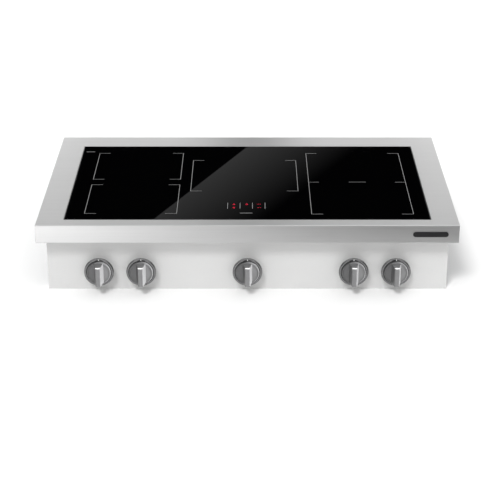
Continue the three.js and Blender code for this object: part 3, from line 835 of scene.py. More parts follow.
def makeBadge():
    low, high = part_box("badge_plate")
    radius = (high.z - low.z) / 2 - 0.001 * mm
    bm = bmesh.new()
    z = (low.z + high.z) / 2
    points = []
    for side, x in ((1, high.x - radius), (-1, low.x + radius)):
        for step in range(13):
            angle = -pi / 2 + pi * step / 12
            points.append((x + side * radius * cos(angle), z + side * radius * sin(angle)))
    addOutline(bm, points, low.y, high.y, "Y")
    soften(bm, 0.5 * mm, 3)
    addPiece("badgePlate", asMesh("badgePlate", bm), "badge", nodes=("badge_plate",))


makeTop()
makeGlass()
makeSeal()
makeMarks()
makeFigures()
makeBadge()
print("top made")


# knobs and bezels, made once round the origin and copied

knobSettings = {"skirt": 28.4 * mm, "rear": 2.3 * mm, "front": 9.7 * mm, "rim": 1.6 * mm,
                "dish": 0.7 * mm, "gripLength": 50 * mm, "gripBase": 23 * mm, "gripFace": 11.5 * mm,
                "gripFront": 34.5 * mm, "gripTaper": 0.965, "gripEdge": 1.3 * mm,
                "paintedHighlightChamfer": 2.1 * mm, "hub": 7.5 * mm, "hubRear": 9 * mm, "bore": 3.3 * mm}
bezelSettings = {"bore": 15 * mm, "sleeve": 17 * mm, "sleeveEnd": 19.7 * mm, "radius": 35.5 * mm,
                 "depth": 5 * mm, "recess": 29.2 * mm, "floor": 1.7 * mm}


def knobCentre(number):
    low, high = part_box(f"bezel_{number}")
    return Vector(((low.x + high.x) / 2, 0, (low.z + high.z) / 2))


def knobMesh():
    s = knobSettings
    bm = bmesh.new()
    edge = s["skirt"]
    profile = [(0, -s["rear"]), (edge - 0.6 * mm, -s["rear"]), (edge, -s["rear"] - 0.6 * mm),
               (edge, -s["front"] + 1.3 * mm), (edge - 0.5 * mm, -s["front"] + 0.4 * mm),
               (edge - 1.2 * mm, -s["front"]), (edge - s["rim"] - 1.2 * mm, -s["front"]),
               (edge - s["rim"] - 2.2 * mm, -s["front"] + s["dish"]), (0, -s["front"] + s["dish"])]
    addTurned(bm, profile, steps=72)
    skirt = newObject("skirt", asMesh("skirt", bm))
    bm = bmesh.new()
    verts = addBlock(bm, (-s["gripBase"] / 2, -s["gripFront"], -s["gripLength"] / 2),
                     (s["gripBase"] / 2, -s["front"] + 2 * mm, s["gripLength"] / 2))
    foot = -s["front"] - 5 * mm  # the grip's edges in front of this are rounded
    front = [vert for vert in verts if vert.co.y < foot]
    bmesh.ops.scale(bm, vec=(s["gripFace"] / s["gripBase"], 1, s["gripTaper"]), verts=front)
    ends = [vert for vert in verts if vert.co.z > 0 and vert.co.y < foot]
    # the top front edges get a chamfer in the second slot, and that slot's lighter grey is a
    # painted highlight
    paintedHighlightChamfer = [edge for edge in bm.edges if all(vert in ends for vert in edge.verts)]
    bmesh.ops.bevel(bm, geom=paintedHighlightChamfer, offset=s["paintedHighlightChamfer"], offset_type="OFFSET", segments=1,
                    profile=0.5, affect="EDGES", material=1)
    soften(bm, s["gripEdge"], 4, where=lambda e: min(v.co.y for v in e.verts) < foot
           and not any(face.material_index for face in e.link_faces))
    hub, rear = s["hub"], s["hubRear"]
    addTurned(bm, [(0, -s["front"] + 1 * mm), (hub, -s["front"] + 1 * mm), (hub, rear - 0.5 * mm),
                   (hub - 0.5 * mm, rear), (0, rear)], steps=32)
    grip = asMesh("grip", bm)
    for mesh in (skirt.data, grip):
        mesh.materials.append(finishes["bezel"])  # satin metal takes this slot on each copy
        # second slot: the lighter grey of the pointer chamfer, a painted highlight
        mesh.materials.append(finishes["paintedHighlightChamfer"])
    combine(skirt, grip, "UNION")
    bm = bmesh.new()
    addTurned(bm, [(0, -14 * mm), (s["bore"], -14 * mm), (s["bore"], 10 * mm), (0, 10 * mm)],
              steps=24)
    combine(skirt, asMesh("bore", bm))
    mesh = skirt.data
    bpy.data.objects.remove(skirt)
    return mesh


def bezelMesh():
    s = bezelSettings
    bm = bmesh.new()
    profile = [(s["bore"], -s["floor"]), (s["bore"], s["sleeveEnd"]), (s["sleeve"], s["sleeveEnd"]),
               (s["sleeve"], 0), (s["radius"], 0), (s["radius"], -s["depth"] + 1.8 * mm),
               (s["radius"] - 1.8 * mm, -s["depth"]), (s["recess"] + 1.0 * mm, -s["depth"]),
               (s["recess"], -s["depth"] + 1.4 * mm), (s["recess"], -s["floor"])]
    addTurned(bm, profile, steps=72, ring=True)
    soften(bm, 0.35 * mm, 2, angle=25.0)
    return asMesh("bezelShape", bm)


def indexMesh():
    # the painted line that the grip points to when the zone is off
    s = bezelSettings
    bm = bmesh.new()
    addBlock(bm, (-0.9 * mm, -s["depth"] - 0.06 * mm, s["recess"] + 1.3 * mm),
             (0.9 * mm, -s["depth"] + 0.2 * mm, s["radius"] - 1.9 * mm))
    return asMesh("indexLine", bm)


def placed(mesh, name, centre):
    copy = mesh.copy()
    copy.name = name
    copy.transform(Matrix.Translation(centre))
    return copy


def makeKnobs():
    knobShape, bezelShape, indexShape = knobMesh(), bezelMesh(), indexMesh()
    shaded(knobShape, 28.0)
    for number in knobNumbers:
        centre = knobCentre(number)
        knobCopy = placed(knobShape, f"knob{number}", centre)
        knobCopy.materials[0] = satinMetal(f"knobMetal{number}", centre)
        knob = addPiece(f"knob{number}", knobCopy, None, f"dial_{number}", (f"knob_{number}",))
        bezelCopy = placed(bezelShape, f"bezel{number}", centre)
        bezel = addPiece(f"bezel{number}", bezelCopy, "bezel", nodes=(f"bezel_{number}",))
        line = placed(indexShape, f"indexLine{number}", centre)
        addPiece(f"indexLine{number}", line, "white")
        lightKnob(number, (knob, bezel))


makeKnobs()
print("knobs made")


# helpers for assembled pieces

def blockMesh(low, high, edge=0.3 * mm, segments=2):
    bm = bmesh.new()
    addBlock(bm, low, high)
    if edge:
        soften(bm, edge, segments)
    return asMesh("block", bm)


def turnedMesh(profile, centre=(0, 0, 0), axis="Z", steps=24, ring=False):
    bm = bmesh.new()
    addTurned(bm, profile, centre, axis, steps, ring)
    return asMesh("turned", bm)


def joinedMesh(name, parts):
    # parts: (mesh, finish name); each part keeps its own finish
    bm = bmesh.new()
    names = []
    for mesh, finish in parts:
        if finish not in names:
            names.append(finish)
        before = len(bm.faces)
        bm.from_mesh(mesh)
        bm.faces.ensure_lookup_table()
        for face in bm.faces[before:]:
            face.material_index = names.index(finish)
        if not mesh.users:
            bpy.data.meshes.remove(mesh)
    mesh = bpy.data.meshes.new(name)
    bm.to_mesh(mesh)
    bm.free()
    for finish in names:
        mesh.materials.append(finishes[finish])
    return mesh


def addParts(name, parts, node, body="root"):
    return addPiece(name, joinedMesh(name, parts), None, body, (node,))


def nodeMesh(node, width=0.3 * mm):
    # a CAD node's copy with flat faces joined up again and its sharp edges rounded
    bm = bmesh.new()
    bm.from_mesh(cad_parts[node].data)
    bmesh.ops.remove_doubles(bm, verts=bm.verts, dist=2e-6)
    bmesh.ops.dissolve_limit(bm, angle_limit=radians(1.0), verts=bm.verts, edges=bm.edges)
    sharp = [edge for edge in bm.edges
             if len(edge.link_faces) == 2 and edge.calc_face_angle() > radians(40)]
    bmesh.ops.bevel(bm, geom=sharp, offset=width, offset_type="OFFSET", segments=2, profile=0.5,
                    affect="EDGES", material=-1, clamp_overlap=True)
    for face in bm.faces:
        face.material_index = 0
    mesh = bpy.data.meshes.new(node + "_shape")
    bm.to_mesh(mesh)
    bm.free()
    return shaded(mesh)


def fixings(mesh, places, axis, finish="plated", spin=0.0):
    # copies of a mesh made on +Z at the origin, turned to face the axis and set on their places
    facing = {"Z": (0, 0, 1), "-Z": (0, 0, -1), "Y": (0, 1, 0), "-Y": (0, -1, 0),
              "X": (1, 0, 0), "-X": (-1, 0, 0)}[axis]
    turn = Vector((0, 0, 1)).rotation_difference(Vector(facing)).to_matrix().to_4x4()
    parts = []
    for i, place in enumerate(places):
        copy = mesh.copy()
        copy.transform(Matrix.Translation(place) @ turn @ Matrix.Rotation(spin * i, 4, "Z"))
        parts.append((copy, finish))
    return parts


def ringCopies(mesh, count, place, finish, axis="Z", first=0.0):
    # copies of a mesh round the axis through a place; the mesh itself goes
    parts = []
    for i in range(count):
        copy = mesh.copy()
        turn = Matrix.Rotation(first + 2 * pi * i / count, 4, axis)
        copy.transform(Matrix.Translation(place) @ turn)
        parts.append((copy, finish))
    bpy.data.meshes.remove(mesh)
    return parts


def tubeMesh(points, radius, sides=2, smooth=True):
    curve = bpy.data.curves.new("tube", "CURVE")
    curve.dimensions = "3D"
    curve.bevel_depth = radius
    curve.bevel_resolution = sides
    curve.resolution_u = 6
    curve.use_fill_caps = True
    spline = curve.splines.new("BEZIER" if smooth else "POLY")
    knots = spline.bezier_points if smooth else spline.points
    knots.add(len(points) - 1)
    for knot, point in zip(knots, points):
        knot.co = point if smooth else (*point, 1)
        if smooth:
            knot.handle_left_type = knot.handle_right_type = "AUTO"
    obj = newObject("tube", curve)
    mesh = finalMesh(obj)
    bpy.data.objects.remove(obj)
    bm = bmesh.new()
    bm.from_mesh(mesh)
    bpy.data.meshes.remove(mesh)
    return asMesh("tube", bm)


def cutMesh(mesh, cutters):
    # the mesh less each of the cutters
    obj = newObject("whole", mesh)
    for cutter in cutters:
        combine(obj, cutter)
    mesh = shaded(obj.data)
    bpy.data.objects.remove(obj)
    return mesh


screwSettings = {"radius": 3.4 * mm, "height": 1.9 * mm, "recess": 0.55 * mm, "spin": 0.5}


def screwMesh():
    # a low round head with a cross recess
    s = screwSettings
    r, h = s["radius"], s["height"]
    head = turnedMesh([(0, -0.2 * mm), (r, -0.2 * mm), (r, 0.35 * h), (0.86 * r, 0.78 * h),
                       (0.6 * r, h), (0, h)])
    arm, wide = 0.62 * r, s["recess"]
    slots = [blockMesh((-x, -y, 0.45 * h), (x, y, 2 * h), 0) for x, y in ((arm, wide), (wide, arm))]
    return cutMesh(head, slots)


screwShape = screwMesh()


def screws(places, axis):
    return fixings(screwShape, places, axis, spin=screwSettings["spin"])


def middleOf(node):
    low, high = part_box(node)
    return (low + high) / 2, low, high


# folded sheet metal: casing, its frame, brackets and the knob carrier

casingSettings = {"bead": 5 * mm, "beadDepth": 1.2 * mm, "beadRows": (90, 150, 205),
                  "beadSpans": ((-400, -30), (110, 400)), "postX": 180 * mm, "postY": 65 * mm,
                  "fanScrew": 38 * mm, "wallScrews": (0.08, 0.2, 0.32, 0.44), "wallHeight": 6 * mm}
bracketSettings = {"rivets": (-90, -30, 30, 90), "height": -7 * mm}
carrierSettings = {"screwsX": (-445, -300, -120, 120, 300, 445), "screwsZ": (-16, -122)}


def makeCasing():
    s = casingSettings
    middle, low, high = middleOf("casing_tray")
    places = []
    for side in sides:
        board = middleOf(f"power_board_{side}")[0]
        fan = middleOf(f"fan_housing_{side}")[0]
        for sx, sy in signs:
            places.append((board.x + sx * s["postX"], board.y + sy * s["postY"], low.z))
            places.append((fan.x + sx * s["fanScrew"], fan.y + sy * s["fanScrew"], low.z))
    parts = [(nodeMesh("casing_tray"), "zinc")] + screws(places, "-Z")
    for y in s["beadRows"]:
        for x0, x1 in s["beadSpans"]:
            bead = blockMesh((x0 * mm, y * mm - s["bead"], low.z - s["beadDepth"]),
                             (x1 * mm, y * mm + s["bead"], low.z + 0.4 * mm), 1.15 * mm, 3)
            parts.append((bead, "zinc"))
    for y in s["wallScrews"]:
        for x, axis in ((low.x, "-X"), (high.x, "X")):
            parts += screws([(x, y, s["wallHeight"])], axis)
    addParts("casingTray", parts, "casing_tray")
    addParts("subFrame", [(nodeMesh("sub_frame", 0.35 * mm), "zinc")], "sub_frame")


def makeBrackets():
    # each bracket with the four rivets that hold it to the frame
    s = bracketSettings
    for side, sign in sides.items():
        node = f"side_bracket_{side}"
        middle, low, high = middleOf(node)
        rivet = turnedMesh(inMillimetres((0, -0.2), (3, -0.2), (2.7, 0.5), (1.6, 0.85), (1.4, 0.45),
                                         (0, 0.45)))
        face, axis = (low.x, "-X") if sign < 0 else (high.x, "X")
        places = [(face, middle.y + y * mm, s["height"]) for y in s["rivets"]]
        parts = [(nodeMesh(node, 0.4 * mm), "zinc")] + fixings(rivet, places, axis)
        bpy.data.meshes.remove(rivet)
        addParts(f"sideBracket_{side}", parts, node)


def makeCarrier():
    # the folded plate behind the knobs, with flush screws
    s = carrierSettings
    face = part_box("control_carrier")[0].y
    places = [(x * mm, face, z * mm) for x in s["screwsX"] for z in s["screwsZ"]]
    flush = turnedMesh(inMillimetres((0, -0.3), (3.6, -0.3), (3.6, 0), (3.4, 0.12), (1.9, 0.12),
                                     (1.6, -0.1), (0, -0.1)))
    parts = [(nodeMesh("control_carrier", 0.4 * mm), "coat")] + fixings(flush, places, "-Y", "coat")
    bpy.data.meshes.remove(flush)
    addParts("knobCarrier", parts, "control_carrier")


def makePlates():
    for node, finish in (("coil_plate", "aluminium"), ("insulation_sheet", "mica")):
        addParts(node + "_sheet", [(nodeMesh(node, 0.15 * mm), finish)], node)


makeCasing()
makeBrackets()
makeCarrier()
makePlates()
print("sheet metal made")


# coils: formers with ferrite bars, spiral windings, sensors

coilSettings = {"wire": 1.72 * mm, "pitch": 3.62 * mm, "inner": (31 * mm, 25 * mm), "corner": 2.7,
                "perTurn": 44, "bars": 8, "barWidth": 4 * mm, "barStart": 27 * mm,
                "barLow": 1.95 * mm, "barHigh": 4.7 * mm, "barEnd": 10 * mm}


def spiralPoints(width, depth, middle):
    # from the rim inwards, on ovals that are a little squared
    s = coilSettings
    turns = int((width - s["inner"][0]) / s["pitch"])
    points = []
    for step in range(turns * s["perTurn"] + 1):
        angle = 2 * pi * step / s["perTurn"]
        share = step / (turns * s["perTurn"])
        across = width - s["wire"] - share * (width - s["inner"][0] - 2 * s["wire"])
        along = depth - s["wire"] - share * (depth - s["inner"][1] - 2 * s["wire"])
        c, n = cos(angle), sin(angle)
        power = 2 / s["corner"]
        x = across * abs(c) ** power * (1 if c > 0 else -1)
        y = along * abs(n) ** power * (1 if n > 0 else -1)
        points.append((middle.x + x, middle.y + y, middle.z))
    return points


def makeWinding(name):
    middle, low, high = middleOf(f"winding_{name}")
    points = spiralPoints((high.x - low.x) / 2, (high.y - low.y) / 2, middle)
    wire = tubeMesh(points, coilSettings["wire"], 1, smooth=False)
    addParts(f"litzWinding_{name}", [(wire, "copper")], f"winding_{name}")


def makeFormer(name):
    s = coilSettings
    node = f"coil_base_{name}"
    middle, low, high = middleOf(node)
    reach = min(high.x - low.x, high.y - low.y) / 2 - s["barEnd"]
    bar = blockMesh((s["barStart"], -s["barWidth"], low.z + s["barLow"]),
                    (reach, s["barWidth"], low.z + s["barHigh"]), 0.4 * mm)
    parts = [(nodeMesh(node, 0.4 * mm), "coilPlastic")]
    parts += ringCopies(bar, s["bars"], (middle.x, middle.y, 0), "ferrite", first=pi / s["bars"])
    addParts(f"coilFormer_{name}", parts, node)


def makeSensor(name):
    # a rubber cap with a waist
    node = f"sensor_{name}"
    middle, low, high = middleOf(node)
    r, height = (high.x - low.x) / 2, high.z - low.z
    profile = [(0, 0), (r, 0), (r, 3 * mm), (r - 1 * mm, 3.8 * mm), (r - 1 * mm, height - 2.6 * mm),
               (r - 0.2 * mm, height - 2.0 * mm), (r - 0.2 * mm, height - 0.8 * mm),
               (r - 1 * mm, height), (0, height)]
    cap = turnedMesh(profile, (middle.x, middle.y, low.z))
    addParts(f"heatSensor_{name}", [(cap, "sensorRubber")], node)


for name in zoneNames:
    makeWinding(name)
    makeFormer(name)
    makeSensor(name)
print("coils made")


# power boards, heat sinks, fans

boardSettings = {"half": (190 * mm, 75 * mm), "lift": 6 * mm, "sheet": 1.6 * mm, "post": 4 * mm,
                 "postX": 180 * mm, "postY": 65 * mm, "capacitors": (-150, -118, -86),
                 "filmBlocks": (40, 84, 128), "chips": 16, "chokePlace": (-30, -54, 20)}
boardBlocks = [  # place across and along, width, depth and height in millimetres
    (-120, 34, 40, 34, 26, "filmBox"), (-120, 34, 44, 26, 22, "ferrite"),
    (110, 40, 29, 13, 16, "greyPlastic"), (110, 58, 29, 13, 16, "greyPlastic"),
    (154, 48, 20, 16, 11, "blackPlastic"), (-172, 10, 8, 36, 9, "whitePlastic"),
    (172, 8, 8, 30, 9, "whitePlastic"), (100, -8, 14, 14, 1.6, "blackPlastic"),
    (128, -8, 10, 6, 1.4, "blackPlastic"), (128, 4, 10, 6, 1.4, "blackPlastic"),
    (-96, -4, 9, 7, 1.4, "blackPlastic")]
chokeSettings = {"radius": 10 * mm, "half": (3.2 * mm, 3.4 * mm), "turns": 16, "wire": 0.6 * mm,
                 "loop": 4.1 * mm}


def chokeParts(place):
    # a ferrite ring standing on the board with copper turns round it
    s = chokeSettings
    r, (across, along) = s["radius"], s["half"]
    core = turnedMesh([(r - across, -along), (r + across, -along), (r + across, along),
                       (r - across, along)], place, "Y", 40, True)
    corners = [k * pi / 3 for k in range(6)]
    wire = [(s["loop"] + s["wire"] * cos(angle), s["wire"] * sin(angle)) for angle in corners]
    turn = turnedMesh(wire, (r, 0, 0), "Z", 14, True)
    return [(core, "ferrite")] + ringCopies(turn, s["turns"], place, "copper", "Y", pi / s["turns"])


def capacitorParts(place, r, height):
    # a sleeved can with a groove near its foot and a bare lid
    body = turnedMesh([(0, 0), (r, 0), (r, 1.5 * mm), (r - 0.8 * mm, 2.4 * mm), (r, 3.3 * mm),
                       (r, height - 0.8 * mm), (r - 0.8 * mm, height), (r - 2 * mm, height),
                       (r - 2.2 * mm, height - 0.5 * mm), (0, height - 0.5 * mm)], place, steps=32)
    low, high = height - 0.45 * mm, height - 0.2 * mm
    lid = turnedMesh([(0, low), (r - 2.4 * mm, low), (r - 2.6 * mm, high), (0, high)], place,
                     steps=32)
    return [(body, "capSleeve"), (lid, "aluminium")]


def makePowerBoard(side):
    # the right board is the left one's mirror image
    s, mirror = boardSettings, sides[side]
    node = f"power_board_{side}"
    middle, low, high = middleOf(node)
    cx, cy, base = middle.x, middle.y, low.z
    deck = base + s["lift"] + s["sheet"]
    halfX, halfY = s["half"]
    sheet = blockMesh((cx - halfX, cy - halfY, base + s["lift"]), (cx + halfX, cy + halfY, deck),
                      0.2 * mm)
    parts = [(sheet, "board")]

    def addPart(x, y, size, finish, edge=0.35, segments=2):
        # a rounded block on the board, in millimetres; x and y are its middle, before mirroring
        x, y = cx + x * mirror * mm, cy + y * mm
        wide, deep, tall = (value * mm for value in size)
        block = blockMesh((x - wide / 2, y - deep / 2, deck),
                          (x + wide / 2, y + deep / 2, deck + tall), edge * mm, segments)
        parts.append((block, finish))

    posts = [(cx + sx * s["postX"], cy + sy * s["postY"]) for sx, sy in signs]
    for x, y in posts:
        post = turnedMesh([(0, 0), (s["post"], 0), (s["post"], s["lift"]), (0, s["lift"])],
                          (x, y, base), steps=6)
        parts.append((post, "brass"))
    parts += screws([(x, y, deck) for x, y in posts], "Z")
    for x in s["capacitors"]:
        parts += capacitorParts((cx + x * mirror * mm, cy - 40 * mm, deck), 12.9 * mm, 22 * mm)
    for x in s["filmBlocks"]:
        addPart(x, -53, (36, 18, 19), "filmBox", 1.2, 3)
    x, y, z = s["chokePlace"]
    parts += chokeParts((cx + x * mirror * mm, cy + y * mm, base + z * mm))
    for x, y, *size, finish in boardBlocks:
        addPart(x, y, size, finish)
    for i in range(s["chips"]):
        addPart(88 + (i % 8) * 11, 14 + (i // 8) * 6, (3.2, 1.6, 0.9), "ferrite", 0.15, 1)
    addParts(f"powerBoard_{side}", parts, node)
    node = f"heat_sink_{side}"
    addParts(f"heatSink_{side}", [(nodeMesh(node, 0.2 * mm), "aluminium")], node)


fanSettings = {"duct": 43 * mm, "corner": 6 * mm, "seat": 17 * mm, "screw": 38 * mm,
               "hole": 2.2 * mm, "arms": 3, "firstArm": 0.4, "blades": 7, "hub": 17 * mm,
               "tip": 40.8 * mm, "sweep": 0.42, "pitch": 6.0 * mm, "camber": 1.1 * mm,
               "thick": 1.1 * mm}


def makeFanHousing(side):
    s = fanSettings
    node = f"fan_housing_{side}"
    middle, low, high = middleOf(node)
    bm = bmesh.new()
    addBlock(bm, low, high)
    soften(bm, s["corner"], 5, where=lambda e: abs(e.verts[0].co.z - e.verts[1].co.z) > 1 * mm)
    soften(bm, 0.6 * mm, 2, angle=60)
    duct, seat, hole, depth = s["duct"], s["seat"], s["hole"], high.z - low.z
    foot, axis = Vector((middle.x, middle.y, low.z)), (middle.x, middle.y, 0)
    cutters = [turnedMesh([(0, -mm), (duct + 1.5 * mm, -mm), (duct + 1.5 * mm, 0), (duct, 2.5 * mm),
                           (duct, depth - 2 * mm), (duct + 1 * mm, depth),
                           (duct + 1 * mm, depth + mm), (0, depth + mm)], foot, steps=72)]
    for sx, sy in signs:
        corner = foot + Vector((sx * s["screw"], sy * s["screw"], 0))
        cutters.append(turnedMesh([(0, -mm), (hole, -mm), (hole, depth + mm), (0, depth + mm)],
                                  corner, steps=16))
    shell = cutMesh(asMesh("housing", bm), cutters)
    boss = turnedMesh([(0, -5 * mm), (seat, -5 * mm), (seat, -0.8 * mm), (seat - 0.8 * mm, 0),
                       (0, 0)], (middle.x, middle.y, high.z), steps=40)
    arm = blockMesh((seat - 1 * mm, -2.5 * mm, high.z - 3.5 * mm),
                    (duct + 0.5 * mm, 2.5 * mm, high.z), 0.6 * mm)
    parts = [(shell, "blackPlastic"), (boss, "blackPlastic")]
    parts += ringCopies(arm, s["arms"], axis, "blackPlastic", first=s["firstArm"])
    addParts(f"fanHousing_{side}", parts, node)


def bladeMesh(low, high):
    # one swept, pitched and slightly hollow blade, drawn from a flat grid
    s = fanSettings
    bm = bmesh.new()
    bmesh.ops.create_grid(bm, x_segments=6, y_segments=5, size=1)
    z = (low + high) / 2
    for vert in bm.verts:
        u, v = (vert.co.x + 1) / 2, vert.co.y
        r = s["hub"] - 1.5 * mm + u * (s["tip"] - s["hub"] + 1.5 * mm)
        angle = s["sweep"] * v * (1 - 0.12 * u) + 0.22 * u
        lift = s["pitch"] * v * (1 - 0.25 * u) + s["camber"] * (1 - v * v)
        vert.co = Vector((r * cos(angle), r * sin(angle), z + lift))
    bmesh.ops.recalc_face_normals(bm, faces=bm.faces)
    bmesh.ops.solidify(bm, geom=bm.faces[:], thickness=s["thick"])
    return asMesh("blade", bm, 50)


def makeImpeller(side):
    s = fanSettings
    node = f"fan_impeller_{side}"
    middle, low, high = middleOf(node)
    r, depth = s["hub"], high.z - low.z
    hub = turnedMesh([(0, 0), (r - 2.5 * mm, 0), (r - 0.8 * mm, 0.8 * mm), (r, 2.8 * mm),
                      (r, depth), (r - 1.5 * mm, depth), (r - 1.5 * mm, depth - 1 * mm),
                      (0, depth - 1 * mm)], (middle.x, middle.y, low.z), steps=48)
    blade, axis = bladeMesh(low.z, high.z), (middle.x, middle.y, 0)
    parts = [(hub, "greyPlastic")] + ringCopies(blade, s["blades"], axis, "greyPlastic")
    addParts(f"fanImpeller_{side}", parts, node, f"rotor_{side}")


for side in sides:
    makePowerBoard(side)
    makeFanHousing(side)
    makeImpeller(side)
print("power boards and fans made")


# mains terminal, display, encoders and loom

terminalSettings = {"ribs": 9, "ribPitch": 8 * mm, "ribDepth": 1.1 * mm, "ribEnd": 12 * mm,
                    "ear": (6 * mm, 7 * mm, 3 * mm), "poles": 6, "polePitch": 15 * mm,
                    "poleScrews": (-6, 6), "wellDepth": 7 * mm, "glandRibs": 12}


def makeTerminal():
    s = terminalSettings
    middle, low, high = middleOf("terminal_cover")
    parts = [(nodeMesh("terminal_cover", 0.8 * mm), "blackPlastic")]
    for i in range(s["ribs"]):
        x = middle.x + (i - (s["ribs"] - 1) / 2) * s["ribPitch"]
        rib = blockMesh((x - 1 * mm, low.y + s["ribEnd"], low.z - s["ribDepth"]),
                        (x + 1 * mm, high.y - s["ribEnd"], low.z + 0.3 * mm), 0.4 * mm)
        parts.append((rib, "blackPlastic"))
    across, along, thick = s["ear"]
    for x in (low.x - 5 * mm, high.x + 5 * mm):
        ear = blockMesh((x - across, middle.y - along, high.z - thick),
                        (x + across, middle.y + along, high.z), 1 * mm, 3)
        parts.append((ear, "blackPlastic"))
    edges = (low.x - across, high.x + across)
    parts += screws([(x, middle.y, high.z - thick) for x in edges], "-Z")
    addParts("terminalCover", parts, "terminal_cover")
    middle, low, high = middleOf("terminal_block")
    wells = [(middle.x + (i - (s["poles"] - 1) / 2) * s["polePitch"], middle.y + y * mm,
              low.z + s["wellDepth"]) for i in range(s["poles"]) for y in s["poleScrews"]]
    parts = [(nodeMesh("terminal_block", 0.4 * mm), "greyPlastic")] + screws(wells, "-Z")
    addParts("terminalBlock", parts, "terminal_block")
    middle, low, high = middleOf("cable_gland")
    rib = blockMesh((13.2 * mm, -14 * mm, -1.1 * mm), (14.8 * mm, -7 * mm, 1.1 * mm), 0.35 * mm)
    place = (middle.x, high.y + 2 * mm, middle.z)
    parts = [(nodeMesh("cable_gland", 0.4 * mm), "blackPlastic")]
    parts += ringCopies(rib, s["glandRibs"], place, "blackPlastic", "Y")
    addParts("cableGland", parts, "cable_gland")


keySettings = {"columns": (-66, 66), "rows": (-18, -6, 6, 18), "half": 3 * mm, "height": 1.6 * mm}


def makeDisplay():
    # the control board with its small touch keys, and the display module
    s = keySettings
    middle, low, high = middleOf("control_board")
    parts = [(nodeMesh("control_board", 0.2 * mm), "board")]
    for x in s["columns"]:
        for y in s["rows"]:
            at = Vector((middle.x + x * mm, middle.y + y * mm, high.z))
            key = blockMesh(at - Vector((s["half"], s["half"], 0)),
                            at + Vector((s["half"], s["half"], s["height"])))
            cap = turnedMesh(inMillimetres((0, 1.5), (1.7, 1.5), (1.5, 2.3), (0, 2.3)), at)
            parts += [(key, "blackPlastic"), (cap, "whitePlastic")]
    addParts("controlBoard", parts, "control_board")
    module = nodeMesh("display_module", 0.3 * mm)
    addParts("displayModule", [(module, "ledBody")], "display_module")


encoderSettings = {"bush": 5 * mm, "nut": 8 * mm, "washer": 8.8 * mm, "pin": 0.5 * mm,
                   "pins": (-5, -2.5, 0, 2.5, 5), "pinPlace": 15 * mm,
                   "shaft": 3 * mm, "shaftLength": 45.3 * mm, "flat": 2.2 * mm}


def makeEncoder(number):
    # the body with its pins, and the nut and washer that hold it to the carrier
    s = encoderSettings
    node = f"encoder_{number}"
    centre = knobCentre(number)
    at = Vector((centre.x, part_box("control_carrier")[0].y, centre.z))
    bore, edge = s["bush"] * 1.17, s["nut"]
    nut = turnedMesh([(bore, -3.4 * mm), (edge - 0.5 * mm, -3.4 * mm), (edge, -3.0 * mm),
                      (edge, -0.9 * mm), (bore, -0.9 * mm)], at, "Y", 6, True)
    bore, edge = s["bush"] * 1.04, s["washer"]
    washer = turnedMesh([(bore, -0.85 * mm), (edge, -0.85 * mm), (edge, -0.05 * mm),
                         (bore, -0.05 * mm)], at, "Y", 36, True)
    parts = [(nodeMesh(node, 0.4 * mm), "greyPlastic"), (nut, "brass"), (washer, "plated")]
    low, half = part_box(node)[0], s["pin"]
    for x in s["pins"]:
        place = Vector((centre.x + x * mm, low.y + s["pinPlace"], low.z))
        pin = blockMesh(place + Vector((-half, -half, -3 * mm)),
                        place + Vector((half, half, 0.3 * mm)), 0.1 * mm, 1)
        parts.append((pin, "brass"))
    addParts(f"encoderBody_{number}", parts, node)


def makeSpindle(number):
    # a round shaft with a flat along its front end
    s = encoderSettings
    node = f"spindle_{number}"
    centre = knobCentre(number)
    r, length, chamfer = s["shaft"], s["shaftLength"], 0.4 * mm
    shaft = turnedMesh([(0, 0), (r - chamfer, 0), (r, chamfer), (r, length - chamfer),
                        (r - chamfer, length), (0, length)],
                       (centre.x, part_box(node)[0].y, centre.z), "Y", 28)
    flat = blockMesh(centre + Vector((-4 * mm, -20 * mm, s["flat"])),
                     centre + Vector((4 * mm, 8 * mm, 4 * mm)), 0.1 * mm)
    shaft = cutMesh(shaft, [flat])
    addParts(f"spindleShaft_{number}", [(shaft, "plated")], node, f"dial_{number}")


loomSettings = {"trunkY": 33 * mm, "height": -40 * mm, "sag": 2.5 * mm, "wave": 32, "steps": 28,
                "trunk": 3.9 * mm, "drop": 2.5 * mm, "ties": 12, "riser": (60, 70),
                "clips": (-300, -150, -50, 130, 300)}


def loomHeight(x):
    return loomSettings["height"] - loomSettings["sag"] * cos(x / mm / loomSettings["wave"])


def tieParts(x):
    # a cable tie round the trunk, with its lock
    y, z, r = loomSettings["trunkY"], loomHeight(x), loomSettings["trunk"]
    outer = r + 0.8 * mm
    band = turnedMesh([(r, -1.2 * mm), (outer, -1.2 * mm), (outer, 1.2 * mm), (r, 1.2 * mm)],
                      (x, y, z), "X", 20, True)
    lock = blockMesh((x - 2 * mm, y + r, z - 2 * mm), (x + 2 * mm, y + r + 2.8 * mm, z + 2 * mm),
                     0.4 * mm)
    return [(band, "whitePlastic"), (lock, "whitePlastic")]


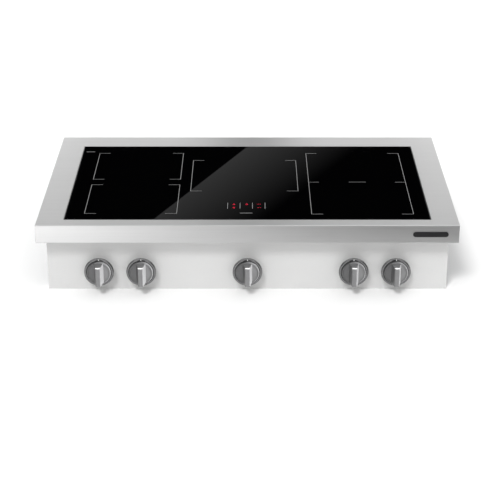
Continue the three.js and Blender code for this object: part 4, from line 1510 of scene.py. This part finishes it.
def clipParts(x, rear):
    # a ring round the trunk on a foot that is screwed to the carrier
    y, z, r = loomSettings["trunkY"], loomHeight(x), loomSettings["trunk"] + 0.1 * mm
    outer = r + 1 * mm
    ring = turnedMesh([(r, -4 * mm), (outer, -4 * mm), (outer, 4 * mm), (r, 4 * mm)],
                      (x, y, z), "X", 24, True)
    base = blockMesh((x - 4 * mm, rear + 0.1 * mm, z + r - 0.5 * mm),
                     (x + 4 * mm, y, z + r + 1.4 * mm))
    foot = blockMesh((x - 6 * mm, rear + 0.1 * mm, z + 2 * mm),
                     (x + 6 * mm, rear + 1.6 * mm, z + 16 * mm))
    parts = [(mesh, "blackPlastic") for mesh in (ring, base, foot)]
    return parts + screws([(x, rear + 1.6 * mm, z + 11 * mm)], "Y")


def makeLoom():
    # a trunk along the carrier, a riser to the control board and a drop to each encoder
    s = loomSettings
    y, steps, end = s["trunkY"], s["steps"], knobCentre(5).x
    trunk = [(x, y, loomHeight(x)) for x in (-end + i * 2 * end / steps for i in range(steps + 1))]
    rx, ry = (value * mm for value in s["riser"])
    riser = [(rx - 46 * mm, y, loomHeight(rx - 46 * mm)), (rx - 26 * mm, y + 4 * mm, s["height"]),
             (rx - 8 * mm, ry - 16 * mm, s["height"] + 5 * mm), (rx, ry, -28 * mm),
             (rx, ry, -8 * mm)]
    parts = [(tubeMesh(points, s["trunk"]), "sleeve") for points in (trunk, riser)]
    for number in knobNumbers:
        x, top = knobCentre(number).x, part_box(f"encoder_{number}")[1].z
        drop = [(x, y, loomHeight(x) + mm), (x, y, -48 * mm), (x, y - 0.5 * mm, top + 0.3 * mm)]
        parts.append((tubeMesh(drop, s["drop"]), "sleeve"))
    for i in range(s["ties"]):
        parts += tieParts(-end + (i + 0.5) * 2 * end / s["ties"])
    addParts("wiringLoom", parts, "wiring_loom")
    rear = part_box("bezel_1")[1].y + 1.8 * mm
    clips = [part for x in s["clips"] for part in clipParts(x * mm, rear)]
    addPiece("loomClips", joinedMesh("loomClips", clips))


makeTerminal()
makeDisplay()
for number in knobNumbers:
    makeEncoder(number)
    makeSpindle(number)
makeLoom()
print("electrics and loom made")
